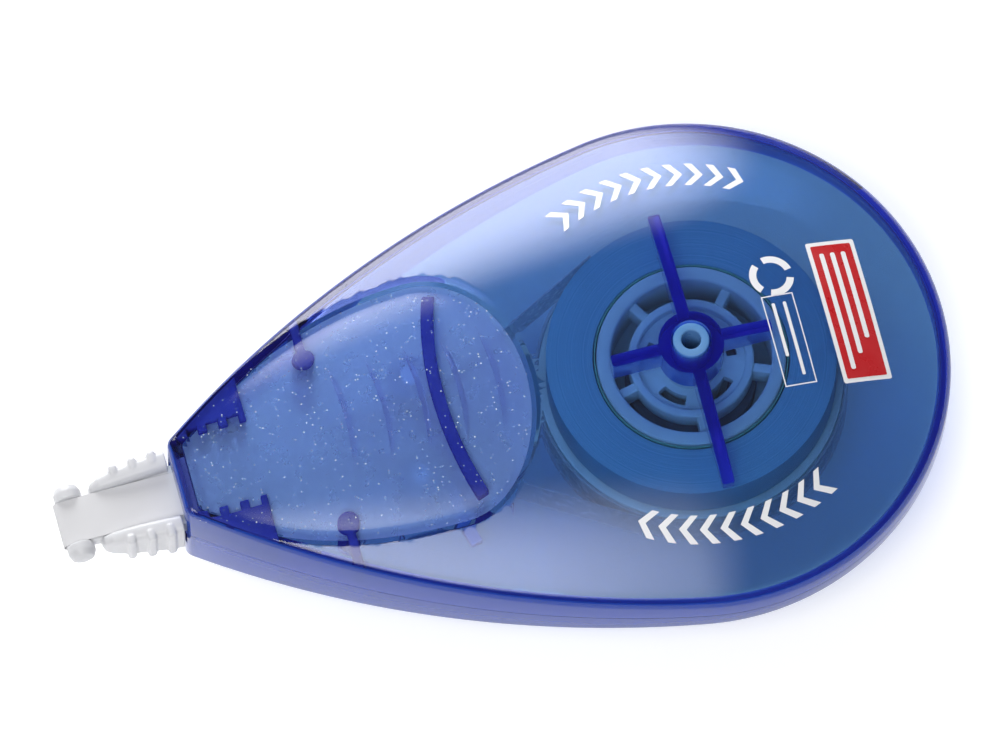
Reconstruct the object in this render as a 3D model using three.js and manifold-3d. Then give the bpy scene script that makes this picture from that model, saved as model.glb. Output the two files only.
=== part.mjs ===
// Correction tape roller: a flat teardrop casing of two translucent shells, two reels on one axle,
// and a white applicator head that lays the tape across the casing's flat side.
// Millimetres, +Z up. The origin is on the reel axis, in the flat face that the roller rests on.
// The nose and the applicator head point along -X.

import * as THREE from "three";
import { mergeVertices } from "three/addons/utils/BufferGeometryUtils.js";
import Module from "manifold-3d";

const wasm = await Module();
wasm.setup();

// ---- driving dimensions ----

const GAP = 0.3; // clearance between pieces that touch or pass each other

// Casing outline: a round rear about the reel axis, and two long arcs that run into the nose.
const REAR_RADIUS = 27;
const SIDE_RADIUS = 118.7;
const SIDE_START = THREE.MathUtils.degToRad(10.9); // where the side arcs leave the round rear
const NOSE_X = -55;

// Casing section.
const MID_Z = 9.7; // parting plane between the two shells
const WALL = 1.2;
const RIM_NOSE = 6.5; // half height of the side wall at the nose
const RIM_REAR = 2; // and at the rear
const CROWN_TOP = 9.7; // height of the top dome over the parting plane
const CROWN_BOTTOM = 11.3; // the bottom dome, before its flat is cut
const NOSE_DROP = 3.1; // how much lower the domes are at the nose

// Grip recesses in both shells.
const RECESS_DEPTH = 0.7;
const RECESS_REAR_X = -16.4;
const RECESS_WIDEST_X = -27;
const RECESS_NOSE_X = -54.1;
const RECESS_HALF_WIDTH = 14.2;
const RECESS_ARC = 43.3; // radius of its long sides
const RECESS_Y = 1.1;
const GRIP_RIBS = 5;
const GRIP_RIB_FIRST_X = -37;
const GRIP_RIB_PITCH = 4;
const GRIP_RIB_LENGTH = 12;
const GRIP_RIB_BOW = 0.7;

// What stands inside the shells.
const BEYOND = 20; // past every surface, for fittings that are trimmed to the shell
const ARM_LOW_Z = 14.7; // the top shell's cross of arms over the supply reel
const ARM_WIDTH = 1.3;
const LONG_ARM = 15.2;
const SHORT_ARM = 8.5;
const HUB_LOW_Z = 14.3;
const PARTITION_CENTRE = [8.3, 1.2]; // of the curved rib between the reels and the nose
const PARTITION_RADIUS = 35;
const PARTITION_WIDTH = 1.3;
const PARTITION_LOW_Y = -10.2;
const PARTITION_HIGH_Y = 12.6;
const PARTITION_SPLIT_Y = 1.4; // the rib is deep on one side of it and leaves a window on the other
const SNAP_X = -39;
const SNAP_Y = 9.3;
const SNAP_RADIUS = 1.3;
const SNAP_WEB = 0.9;

// Tape and reels.
const TAPE_WIDTH = 5;
const TAPE_THICKNESS = 0.12;
const TAKEUP_TAPE_Z = 3.5; // lower edge of the used tape
const SUPPLY_TAPE_Z = 8.9; // lower edge of the new tape
const SUPPLY_RADIUS = 15;
const CORE_RADIUS = 9.8;
const DRUM_RADIUS = 15.8;
const AXLE_RADIUS = 1.9;
const AXLE_BORE = 1;
const AXLE_LOW_Z = 1.5;
const AXLE_HIGH_Z = 19.3;
const HUB_RADIUS = 3.4;
const RUNNING_GAP = 0.2;
const CORE_DISC_RADIUS = 6.5;
const SPOKES = 5;
const SPOKE_START = 49.5; // degrees
const DRUM_WALL = 1;
const DRUM_LOW_Z = 3.4;
const DRUM_HIGH_Z = 8.6;
const DRUM_WINDOWS = 4;
const DRUM_WINDOW_SWEEP = THREE.MathUtils.degToRad(72);

// Guide rollers: the feed roller on the upper tape level, the return roller on the lower one.
const ROLLER_RADIUS = 2.4;
const POST_RADIUS = 1;
const FEED_ROLLER = new THREE.Vector2(-28.7, 5.1);
const RETURN_ROLLER = new THREE.Vector2(-29.8, -3.7);

// Applicator head.
const TIP_X = -67.4;
const TIP_HALF_THICKNESS = 0.4;
const ROOT_HALF_THICKNESS = 1.1;
const TONGUE_HALF_WIDTH = 2.6;
const SHANK_HALF_WIDTH = 3.3;
const SHANK_END_X = -46.6;
const TOOTH_CENTRES = [-52.1, -49.9, -47.7];
const TOOTH_WIDTH = 0.7;
const TOOTH_OUTER_Y = 4.4;
const RACK_FRONT_X = -54.4;
const RACK_REAR_X = -46.4;
const RACK_INNER_Y = 4.2;
const NOTCH_OUTER_Y = 4.9;
const NOTCH_WIDTH = 1.3;
const CHEEK_HALF_HEIGHT = 2.6;
const CHEEK_RIB_CENTRES = [-60.8, -58.7, -56.6];
const CHEEK_RIB_WIDTH = 0.9;
const CHEEK_RIB_OUTER_Y = 4.9;

// ---- materials ----

function plastic(color, roughness, opacity = 1) {
  const transparent = opacity < 1;
  return new THREE.MeshStandardMaterial({ color, roughness, metalness: 0, opacity, transparent });
}

const casingBlue = () => plastic(0x2f52b4, 0.25, 0.55);
const headWhite = () => plastic(0xf1f2f4, 0.4);
const reelBlue = () => plastic(0x7fa9dc, 0.4, 0.8);
const tapeWhite = () => plastic(0xf4f4f0, 0.6);
const carrierClear = () => plastic(0xd9e2ea, 0.35, 0.6);
const leaderGreen = () => plastic(0x4f9a68, 0.5);
const clutchGrey = () => plastic(0x5c6370, 0.8);

// ---- solids ----

function solid(geometry) {
  const flat = geometry.clone();
  flat.deleteAttribute("normal");
  flat.deleteAttribute("uv");
  const merged = mergeVertices(flat, 1e-4);
  const vertProperties = new Float32Array(merged.attributes.position.array);
  const triVerts = new Uint32Array(merged.index.array);
  return new wasm.Manifold(new wasm.Mesh({ numProp: 3, vertProperties, triVerts }));
}

function join(first, ...others) {
  return others.reduce((sum, other) => sum.add(other), first);
}

function cut(first, ...others) {
  return others.reduce((rest, other) => rest.subtract(other), first);
}

function mesh(name, shape, material) {
  const { numProp, vertProperties, triVerts } = shape.getMesh();
  const positions = new Float32Array((vertProperties.length / numProp) * 3);
  for (let i = 0; i < positions.length / 3; i++) {
    positions.set(vertProperties.subarray(i * numProp, i * numProp + 3), i * 3);
  }
  const geometry = new THREE.BufferGeometry();
  geometry.setAttribute("position", new THREE.BufferAttribute(positions, 3));
  geometry.setIndex(new THREE.BufferAttribute(triVerts, 1));
  geometry.computeVertexNormals();
  const made = new THREE.Mesh(geometry, material);
  made.name = name;
  return made;
}

// A flat outline of [x, y] points, raised from z0 to z1.
function prism(points, z0, z1) {
  const shape = new THREE.Shape(points.map(([x, y]) => new THREE.Vector2(x, y)));
  const geometry = new THREE.ExtrudeGeometry(shape, { depth: z1 - z0, bevelEnabled: false });
  return solid(geometry.translate(0, 0, z0));
}

function block(x0, x1, y0, y1, z0, z1) {
  const geometry = new THREE.BoxGeometry(Math.abs(x1 - x0), Math.abs(y1 - y0), Math.abs(z1 - z0));
  return solid(geometry.translate((x0 + x1) / 2, (y0 + y1) / 2, (z0 + z1) / 2));
}

function cylinder(radius, z0, z1, x = 0, y = 0, sides = 24) {
  const geometry = new THREE.CylinderGeometry(radius, radius, z1 - z0, sides);
  geometry.rotateX(Math.PI / 2);
  return solid(geometry.translate(x, y, (z0 + z1) / 2));
}

function ring(outer, inner, z0, z1, x = 0, y = 0, sides = 48) {
  const profile = [[inner, z0], [outer, z0], [outer, z1], [inner, z1], [inner, z0]];
  const geometry = new THREE.LatheGeometry(profile.map(([r, z]) => new THREE.Vector2(r, z)), sides);
  geometry.rotateX(Math.PI / 2);
  return solid(geometry.translate(x, y, 0));
}

// A closed solid over a convex outline, between two heights that are functions of x and y.
function heightSolid(outline, centre, lower, upper, rings = [1, 0.82, 0.58, 0.3]) {
  const positions = [];
  const index = [];
  const count = outline.length;
  for (const height of [lower, upper]) {
    for (const scale of rings) {
      for (const [px, py] of outline) {
        const x = centre[0] + (px - centre[0]) * scale;
        const y = centre[1] + (py - centre[1]) * scale;
        positions.push(x, y, height(x, y));
      }
    }
    positions.push(centre[0], centre[1], height(...centre));
  }
  const layer = rings.length * count + 1;
  const face = (a, b, c, up) => index.push(...(up ? [a, b, c] : [a, c, b]));
  for (const [start, up] of [[0, false], [layer, true]]) {
    for (let i = 0; i < count; i++) {
      const next = (i + 1) % count;
      for (let r = 0; r < rings.length - 1; r++) {
        const outer = start + r * count;
        const inner = outer + count;
        face(outer + i, outer + next, inner + next, up);
        face(outer + i, inner + next, inner + i, up);
      }
      const last = start + (rings.length - 1) * count;
      face(last + i, last + next, start + layer - 1, up);
    }
  }
  for (let i = 0; i < count; i++) {
    const next = (i + 1) % count;
    index.push(i, next, layer + next, i, layer + next, layer + i);
  }
  const geometry = new THREE.BufferGeometry();
  geometry.setAttribute("position", new THREE.Float32BufferAttribute(positions, 3));
  geometry.setIndex(index);
  return solid(geometry);
}

// A thin band of rectangular section. Each station has its middle point and the direction of its width.
function ribbon(stations, width = TAPE_WIDTH, thickness = TAPE_THICKNESS) {
  const positions = [];
  const index = [];
  stations.forEach(({ point, across }, i) => {
    const before = stations[Math.max(i - 1, 0)].point;
    const after = stations[Math.min(i + 1, stations.length - 1)].point;
    const along = after.clone().sub(before).normalize();
    const normal = new THREE.Vector3().crossVectors(along, across).normalize();
    for (const [w, t] of [[-1, -1], [1, -1], [1, 1], [-1, 1]]) {
      const corner = point.clone();
      corner.addScaledVector(across, (w * width) / 2);
      corner.addScaledVector(normal, (t * thickness) / 2);
      positions.push(...corner.toArray());
    }
  });
  for (let i = 0; i < stations.length - 1; i++) {
    for (let k = 0; k < 4; k++) {
      const a = 4 * i + k;
      const b = 4 * i + ((k + 1) % 4);
      if (k < 2) index.push(a, b, b + 4, a, b + 4, a + 4);
      else index.push(a, b, a + 4, b, b + 4, a + 4); // both broad faces share one diagonal
    }
  }
  const end = 4 * (stations.length - 1);
  index.push(0, 2, 1, 0, 3, 2, end, end + 1, end + 2, end, end + 2, end + 3);
  const geometry = new THREE.BufferGeometry();
  geometry.setAttribute("position", new THREE.Float32BufferAttribute(positions, 3));
  geometry.setIndex(index);
  const made = solid(geometry);
  if (made.volume() > 0) return made;
  for (let i = 0; i < index.length; i += 3) [index[i + 1], index[i + 2]] = [index[i + 2], index[i + 1]];
  geometry.setIndex(index);
  return solid(geometry);
}

// ---- casing outline and heights ----

const SIDE_CENTRE = new THREE.Vector2(Math.sin(SIDE_START), -Math.cos(SIDE_START));
SIDE_CENTRE.multiplyScalar(SIDE_RADIUS - REAR_RADIUS);

// Half the casing's width at x.
function halfWidth(x, inset = 0) {
  if (x > -REAR_RADIUS * Math.sin(SIDE_START)) {
    return Math.sqrt(Math.max((REAR_RADIUS - inset) ** 2 - x * x, 0));
  }
  return SIDE_CENTRE.y + Math.sqrt((SIDE_RADIUS - inset) ** 2 - (x - SIDE_CENTRE.x) ** 2);
}

function casingOutline(inset = 0) {
  const sideSteps = 9;
  const rearSteps = 13;
  const noseX = NOSE_X + inset;
  const startX = -(REAR_RADIUS - inset) * Math.sin(SIDE_START);
  const upper = [];
  for (let i = 0; i <= rearSteps; i++) {
    const angle = (i / rearSteps) * (Math.PI / 2 + SIDE_START);
    upper.push([(REAR_RADIUS - inset) * Math.cos(angle), (REAR_RADIUS - inset) * Math.sin(angle)]);
  }
  for (let i = 1; i <= sideSteps; i++) {
    const x = THREE.MathUtils.lerp(startX, noseX, i / sideSteps);
    upper.push([x, halfWidth(x, inset)]);
  }
  const lower = upper.slice(1).reverse().map(([x, y]) => [x, -y]);
  return [...upper, ...lower];
}

function rimHeight(x) {
  const forward = (REAR_RADIUS - x) / (REAR_RADIUS - NOSE_X);
  return RIM_REAR + (RIM_NOSE - RIM_REAR) * forward ** 1.6;
}

// Height of a dome over the parting plane.
function domeHeight(x, y, crown) {
  const rim = rimHeight(x);
  const middle = crown - NOSE_DROP * (Math.min(x, 0) / NOSE_X) ** 2;
  const reach = x < 0 ? Math.abs(y) / halfWidth(x) : Math.hypot(x, y) / REAR_RADIUS;
  return rim + (middle - rim) * (1 - Math.min(reach, 1) ** 2);
}

// The grip recess: half an ellipse at the rear, then two long arcs that run forward to the nose.
// It leans to one side at the rear, and is grown by `grow`.
function recessOutline(grow = 0) {
  const capSteps = 14;
  const sideSteps = 7;
  const noseX = RECESS_NOSE_X - grow;
  const length = RECESS_WIDEST_X - noseX;
  const lean = (x) => RECESS_Y * THREE.MathUtils.smoothstep(x, RECESS_NOSE_X, RECESS_WIDEST_X);
  const points = [];
  for (const side of [-1, 1]) {
    for (let i = 1; i <= sideSteps; i++) {
      const t = side < 0 ? i / sideSteps : 1 - (i - 1) / sideSteps;
      const x = RECESS_WIDEST_X - length * (1 - t);
      const drop = RECESS_ARC - Math.sqrt(RECESS_ARC ** 2 - (RECESS_WIDEST_X - x) ** 2);
      points.push([x, side * (RECESS_HALF_WIDTH + grow - drop) + lean(x)]);
    }
    if (side > 0) break;
    for (let i = 1; i < capSteps; i++) {
      const angle = (i / capSteps - 0.5) * Math.PI;
      const x = RECESS_WIDEST_X + (RECESS_REAR_X + grow - RECESS_WIDEST_X) * Math.cos(angle);
      points.push([x, (RECESS_HALF_WIDTH + grow) * Math.sin(angle) + RECESS_Y]);
    }
  }
  return points;
}

// ---- shells ----

// The hollow half casing over the parting plane, open below. The bottom shell is made the same way
// and turned over.
function halfShell(crown) {
  const outline = casingOutline();
  const inner = casingOutline(WALL);
  const centre = [-10, 0];
  const top = (x, y) => domeHeight(x, y, crown);
  const recessCentre = [(RECESS_REAR_X + RECESS_NOSE_X) / 2, RECESS_Y / 2];
  const recess = (depth, grow) =>
    heightSolid(recessOutline(grow), recessCentre, (x, y) => top(x, y) - depth, () => 20, [1, 0.66, 0.33]);
  const body = cut(heightSolid(outline, centre, () => GAP / 2, top), recess(RECESS_DEPTH, 0));
  const cavity = heightSolid(inner, centre, () => -1, (x, y) => top(x, y) - WALL);
  return { body, cavity: cut(cavity, recess(RECESS_DEPTH + WALL, WALL * 0.6)) };
}

// Everything that stands inside a half casing is cut to its cavity, with a little overlap into the wall.
function partitionRib(fromY, toY, z0) {
  const centre = PARTITION_CENTRE;
  const radius = PARTITION_RADIUS;
  const half = PARTITION_WIDTH / 2;
  const steps = 6;
  const points = [];
  for (const side of [1, -1]) {
    for (let i = 0; i <= steps; i++) {
      const t = side > 0 ? i / steps : 1 - i / steps;
      const angle = Math.asin((THREE.MathUtils.lerp(fromY, toY, t) - centre[1]) / radius);
      const r = radius + side * half;
      points.push([centre[0] - r * Math.cos(angle), centre[1] + r * Math.sin(angle)]);
    }
  }
  return prism(points, z0, BEYOND);
}

function rack(side) {
  const outer = 12;
  const half = NOTCH_WIDTH / 2;
  let made = block(RACK_FRONT_X, RACK_REAR_X, RACK_INNER_Y, outer, GAP / 2, BEYOND);
  for (const x of TOOTH_CENTRES) {
    made = cut(made, block(x - half, x + half, RACK_INNER_Y - 1, NOTCH_OUTER_Y, -1, BEYOND + 1));
  }
  return side > 0 ? made : made.scale([1, -1, 1]);
}

function snapBoss(side) {
  const [x, y] = [SNAP_X, side * SNAP_Y];
  const web = block(x - SNAP_WEB / 2, x + SNAP_WEB / 2, y, side * BEYOND, 1.5, BEYOND);
  return join(cylinder(SNAP_RADIUS, GAP / 2, BEYOND, x, y, 16), web);
}

function gripRibs(crown) {
  const made = [];
  for (let i = 0; i < GRIP_RIBS; i++) {
    const x = GRIP_RIB_FIRST_X + i * GRIP_RIB_PITCH;
    const points = [];
    for (const edge of [-0.25, 0.25]) {
      const steps = 5;
      for (let k = 0; k <= steps; k++) {
        const t = edge < 0 ? k / steps : 1 - k / steps;
        const along = 2 * t - 1;
        const bow = GRIP_RIB_BOW * (1 - along ** 2);
        points.push([x + bow + edge, (along * GRIP_RIB_LENGTH) / 2 + RECESS_Y + 0.4]);
      }
    }
    const height = domeHeight(x, RECESS_Y, crown) - RECESS_DEPTH + 0.1;
    made.push(prism(points, height - 1, height));
  }
  return made;
}

function topShell() {
  const { body, cavity } = halfShell(CROWN_TOP);
  const armZ = ARM_LOW_Z - MID_Z;
  const half = ARM_WIDTH / 2;
  const fittings = join(
    cylinder(HUB_RADIUS, HUB_LOW_Z - MID_Z, BEYOND, 0, 0, 32),
    block(-half, half, -LONG_ARM, LONG_ARM, armZ, BEYOND),
    block(-SHORT_ARM, SHORT_ARM, -half, half, armZ, BEYOND),
    partitionRib(PARTITION_LOW_Y, PARTITION_SPLIT_Y, 9 - MID_Z),
    partitionRib(PARTITION_SPLIT_Y, PARTITION_HIGH_Y, 14.2 - MID_Z),
    rack(1),
    rack(-1),
    snapBoss(1),
    snapBoss(-1),
  ).intersect(body);
  const raw = join(cut(body, cavity), fittings, ...gripRibs(CROWN_TOP));
  const sockets = [1, -1].map((side) => cylinder(0.8, -1, 3.4, SNAP_X, side * SNAP_Y, 12));
  const shape = cut(raw, noseOpening(), cylinder(AXLE_RADIUS + RUNNING_GAP, -1, BEYOND, 0, 0, 32), ...sockets);
  return mesh("top_shell", shape.translate([0, 0, MID_Z]), casingBlue());
}

function noseOpening() {
  return block(NOSE_X - 1, NOSE_X + WALL + 0.4, -3.9, 3.9, -3.2, 3.2);
}

// Made upside down, like the top shell, and turned over about the X axis.
function bottomShell() {
  const { body, cavity } = halfShell(CROWN_BOTTOM);
  const rest = block(-60, 30, -30, 30, MID_Z, 30); // what lies beyond the flat that the roller rests on
  const depth = (z) => MID_Z - z;
  const floorZ = depth(WALL);
  const fittings = join(
    ring(3.3, AXLE_RADIUS + 0.05, depth(3), BEYOND, 0, 0, 32),
    partitionRib(-PARTITION_HIGH_Y, -PARTITION_SPLIT_Y, depth(8.5)),
    partitionRib(-PARTITION_SPLIT_Y, -PARTITION_LOW_Y, depth(3.2)),
    rack(1),
    rack(-1),
    snapBoss(1),
    snapBoss(-1),
    cylinder(1.9, depth(8.4), BEYOND, FEED_ROLLER.x, -FEED_ROLLER.y, 20),
    cylinder(1.9, depth(3.2), BEYOND, RETURN_ROLLER.x, -RETURN_ROLLER.y, 20),
  ).intersect(body);
  const posts = [
    cylinder(POST_RADIUS, depth(14.6), depth(8), FEED_ROLLER.x, -FEED_ROLLER.y, 16),
    cylinder(POST_RADIUS, depth(9.2), depth(3), RETURN_ROLLER.x, -RETURN_ROLLER.y, 16),
    ...[1, -1].map((side) => cylinder(0.55, -2.6, 1, SNAP_X, side * SNAP_Y, 12)),
  ];
  const floor = block(-16, 16, -16, 16, floorZ, 20).intersect(body);
  const hollow = cut(body, cavity);
  const raw = cut(join(hollow, floor, fittings, ...posts, ...gripRibs(CROWN_BOTTOM)), rest, noseOpening());
  const shape = cut(raw, cylinder(AXLE_RADIUS + 0.05, 0, floorZ - 0.2, 0, 0, 32));
  return mesh("bottom_shell", shape.rotate([180, 0, 0]).translate([0, 0, MID_Z]), casingBlue());
}

// ---- reels ----

function reelAxle() {
  const shape = join(
    ring(AXLE_RADIUS, AXLE_BORE, AXLE_LOW_Z, AXLE_HIGH_Z, 0, 0, 32),
    ring(AXLE_RADIUS - 0.2, 0.4, AXLE_LOW_Z, AXLE_LOW_Z + 0.7, 0, 0, 32),
  );
  return mesh("reel_axle", shape, reelBlue());
}

function supplyCore() {
  const bore = AXLE_RADIUS + RUNNING_GAP;
  const top = SUPPLY_TAPE_Z + TAPE_WIDTH + 0.4;
  const parts = [
    ring(CORE_RADIUS, CORE_RADIUS - 1.5, SUPPLY_TAPE_Z - 0.3, top),
    ring(3, bore, SUPPLY_TAPE_Z - 0.3, top - 0.4, 0, 0, 32),
    ring(CORE_DISC_RADIUS, CORE_DISC_RADIUS - 0.9, 11, top - 0.7, 0, 0, 40),
    ring(CORE_DISC_RADIUS - 0.2, 2.8, 11.4, 12.5, 0, 0, 40),
  ];
  for (let i = 0; i < SPOKES; i++) {
    const spoke = block(CORE_DISC_RADIUS - 0.3, CORE_RADIUS - 1, -0.5, 0.5, 10.6, 13.3);
    parts.push(spoke.rotate([0, 0, SPOKE_START + (360 / SPOKES) * i]));
  }
  return mesh("supply_core", join(...parts), reelBlue());
}

function supplyTape() {
  const inner = CORE_RADIUS + 0.35;
  const shape = ring(SUPPLY_RADIUS, inner, SUPPLY_TAPE_Z, SUPPLY_TAPE_Z + TAPE_WIDTH);
  return mesh("supply_tape", shape, tapeWhite());
}

function leaderBand() {
  const shape = ring(CORE_RADIUS + 0.25, CORE_RADIUS + 0.1, SUPPLY_TAPE_Z, SUPPLY_TAPE_Z + TAPE_WIDTH);
  return mesh("leader_band", shape, leaderGreen());
}

function takeupDrum() {
  const wall = cut(ring(DRUM_RADIUS, DRUM_RADIUS - DRUM_WALL, DRUM_LOW_Z, DRUM_HIGH_Z), ...drumWindows());
  const shape = join(
    wall,
    ring(DRUM_RADIUS - 0.5, 2.6, 5.4, 6.2),
    ring(3.2, AXLE_RADIUS + RUNNING_GAP, DRUM_LOW_Z - 0.1, 7.2, 0, 0, 32),
  );
  return mesh("takeup_drum", shape, reelBlue());
}

// Long slots through the drum's wall, over and under its web, between uprights.
function drumWindows() {
  const steps = 8;
  const outline = [];
  for (const radius of [DRUM_RADIUS + 1, DRUM_RADIUS - DRUM_WALL - 0.8]) {
    for (let i = 0; i <= steps; i++) {
      const t = radius > DRUM_RADIUS ? i / steps : 1 - i / steps;
      const angle = (t - 0.5) * DRUM_WINDOW_SWEEP;
      outline.push([radius * Math.cos(angle), radius * Math.sin(angle)]);
    }
  }
  const made = [];
  for (let i = 0; i < DRUM_WINDOWS; i++) {
    for (const [z0, z1] of [[4, 5.1], [6.5, 8]]) {
      made.push(prism(outline, z0, z1).rotate([0, 0, (360 / DRUM_WINDOWS) * i]));
    }
  }
  return made;
}

function takeupTape() {
  const shape = ring(DRUM_RADIUS + 0.4, DRUM_RADIUS + 0.1, TAKEUP_TAPE_Z, TAKEUP_TAPE_Z + TAPE_WIDTH);
  return mesh("takeup_tape", shape, carrierClear());
}

function clutchRing() {
  return mesh("clutch_ring", ring(6.8, 3.9, 6.35, 8.4, 0, 0, 40), clutchGrey());
}

function guideRoller(name, place, tapeZ) {
  const z0 = tapeZ - 0.2;
  const z1 = tapeZ + TAPE_WIDTH + 0.2;
  const bore = POST_RADIUS + 0.15;
  const shape = ring(ROLLER_RADIUS, bore, z0, z1, place.x, place.y, 24);
  return mesh(name, shape, reelBlue());
}

// ---- applicator head ----

function applicatorHead() {
  const tongue = new THREE.Shape();
  tongue.moveTo(SHANK_END_X, -ROOT_HALF_THICKNESS);
  tongue.lineTo(SHANK_END_X, ROOT_HALF_THICKNESS);
  tongue.lineTo(-62, ROOT_HALF_THICKNESS * 0.8);
  tongue.lineTo(TIP_X + TIP_HALF_THICKNESS, TIP_HALF_THICKNESS);
  tongue.absarc(TIP_X + TIP_HALF_THICKNESS, 0, TIP_HALF_THICKNESS, Math.PI / 2, (3 * Math.PI) / 2, false);
  tongue.lineTo(-62, -ROOT_HALF_THICKNESS * 0.8);
  const options = { depth: 2 * TONGUE_HALF_WIDTH, bevelEnabled: false, curveSegments: 8 };
  const blade = new THREE.ExtrudeGeometry(tongue, options);
  blade.rotateX(Math.PI / 2).translate(0, TONGUE_HALF_WIDTH, 0);
  const parts = [solid(blade)];
  const half = ROOT_HALF_THICKNESS;
  parts.push(block(-58, SHANK_END_X, -SHANK_HALF_WIDTH, SHANK_HALF_WIDTH, -half, half));
  for (const side of [1, -1]) {
    for (const x of TOOTH_CENTRES) {
      const reach = TOOTH_WIDTH / 2;
      parts.push(block(x - reach, x + reach, side * 3, side * TOOTH_OUTER_Y, -half, half));
    }
    parts.push(headCheek(side), tipKnob(side));
  }
  return mesh("applicator_head", join(...parts).translate([0, 0, MID_Z]), headWhite());
}

// A side cheek with three upright ribs that keep the paper edge off the tape.
function headCheek(side) {
  const outline = [
    [-55.3, 3.1], [-55.3, 4.6], [-60.5, 4.2], [-62.8, 3.7], [-63.6, 3.2], [-63.6, 2.75], [-63, 2.5],
  ];
  const high = CHEEK_HALF_HEIGHT;
  const half = CHEEK_RIB_WIDTH / 2;
  const parts = [prism(outline.reverse(), -high, high)];
  for (const x of CHEEK_RIB_CENTRES) parts.push(block(x - half, x + half, 3.6, CHEEK_RIB_OUTER_Y, -high, high));
  parts.push(block(-61, -55.6, 2.4, 3.4, -0.9, 0.9));
  const made = join(...parts);
  return side > 0 ? made : made.scale([1, -1, 1]);
}

function tipKnob(side) {
  const radius = 1.35;
  const geometry = new THREE.CylinderGeometry(radius, radius, 1.7, 20);
  geometry.translate(TIP_X + radius + 0.05, side * (TONGUE_HALF_WIDTH + 0.75), 0);
  return solid(geometry);
}

// ---- tape path ----

const UP = new THREE.Vector3(0, 0, 1);
const ACROSS = new THREE.Vector3(0, 1, 0);
const FEED_Z = SUPPLY_TAPE_Z + TAPE_WIDTH / 2;
const RETURN_Z = TAKEUP_TAPE_Z + TAPE_WIDTH / 2;
const TAPE_OFFSET = 0.15; // the tape's middle from the surface that it runs over
const THROAT_X = -53;

// The straight line that touches two circles on opposite sides, as a belt does: from a reel to a roller.
function crossedTangent(reelRadius, roller, rollerRadius, side) {
  const distance = roller.length();
  const direction = Math.atan2(roller.y, roller.x);
  const turn = Math.acos((reelRadius + rollerRadius) / distance);
  const angle = direction - side * turn;
  const radial = new THREE.Vector2(Math.cos(angle), Math.sin(angle));
  return {
    onReel: radial.clone().multiplyScalar(reelRadius),
    onRoller: roller.clone().addScaledVector(radial, -rollerRadius),
  };
}

function flatRun(from, to, z, trim = 0) {
  const span = to.clone().sub(from);
  const steps = 3;
  const stations = [];
  for (let i = 0; i <= steps; i++) {
    const t = THREE.MathUtils.lerp(trim, 1 - trim, i / steps);
    const place = from.clone().addScaledVector(span, t);
    stations.push({ point: new THREE.Vector3(place.x, place.y, z), across: UP });
  }
  return stations;
}

// From upright beside a guide roller to flat on the tongue.
function twistRun(roller, z, side) {
  const start = new THREE.Vector3(roller.x - 1, roller.y - side * (ROLLER_RADIUS + TAPE_OFFSET), z);
  const rise = ROOT_HALF_THICKNESS + TAPE_OFFSET + 0.1;
  const end = new THREE.Vector3(THROAT_X, 0, MID_Z + side * rise);
  const steps = 18;
  const stations = [];
  for (let i = 0; i <= steps; i++) {
    const t = i / steps;
    const eased = THREE.MathUtils.smoothstep(t, 0.05, 0.68);
    const across = UP.clone().multiplyScalar(Math.cos((eased * Math.PI) / 2));
    across.addScaledVector(ACROSS, Math.sin((eased * Math.PI) / 2));
    const point = start.clone().lerp(end, t);
    point.z = THREE.MathUtils.lerp(start.z, end.z, eased);
    stations.push({ point, across });
  }
  return stations;
}

// Over the tongue, round its edge and back under it.
function tipLoop() {
  const stations = [];
  const clear = TAPE_OFFSET + 0.05;
  const rise = ROOT_HALF_THICKNESS + clear;
  const bend = TIP_HALF_THICKNESS + clear;
  const bendX = TIP_X + TIP_HALF_THICKNESS;
  const above = [[THROAT_X - 0.2, rise], [-58, rise], [-62, ROOT_HALF_THICKNESS * 0.85 + clear]];
  for (const [x, z] of above) stations.push([x, z]);
  for (let i = 0; i <= 8; i++) {
    const angle = Math.PI / 2 + (i / 8) * Math.PI;
    stations.push([bendX + bend * Math.cos(angle), bend * Math.sin(angle)]);
  }
  for (const [x, z] of above.reverse()) stations.push([x, -z]);
  return stations.map(([x, z]) => ({ point: new THREE.Vector3(x, 0, MID_Z + z), across: ACROSS }));
}

function tapePath() {
  const feed = crossedTangent(SUPPLY_RADIUS + 0.25, FEED_ROLLER, ROLLER_RADIUS + TAPE_OFFSET, 1);
  const back = crossedTangent(DRUM_RADIUS + 0.65, RETURN_ROLLER, ROLLER_RADIUS + TAPE_OFFSET, -1);
  return [
    mesh("tape_supply_run", ribbon(flatRun(feed.onReel, feed.onRoller, FEED_Z, 0.01)), tapeWhite()),
    mesh("tape_feed_twist", ribbon(twistRun(FEED_ROLLER, FEED_Z, 1)), tapeWhite()),
    mesh("tape_tip_loop", ribbon(tipLoop(), 4.8), tapeWhite()),
    mesh("tape_return_twist", ribbon(twistRun(RETURN_ROLLER, RETURN_Z, -1)), carrierClear()),
    mesh("tape_takeup_run", ribbon(flatRun(back.onReel, back.onRoller, RETURN_Z, 0.01)), carrierClear()),
  ];
}

// ---- assembly ----

const roller = new THREE.Group();
roller.add(bottomShell(), topShell(), applicatorHead(), reelAxle());
roller.add(supplyCore(), leaderBand(), supplyTape());
roller.add(takeupDrum(), takeupTape(), clutchRing());
roller.add(guideRoller("guide_roller_feed", FEED_ROLLER, SUPPLY_TAPE_Z));
roller.add(guideRoller("guide_roller_return", RETURN_ROLLER, TAKEUP_TAPE_Z));
roller.add(...tapePath());

export default roller;
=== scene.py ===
import math

import bmesh
import bpy
import numpy as np
from mathutils import Matrix, Vector

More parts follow.
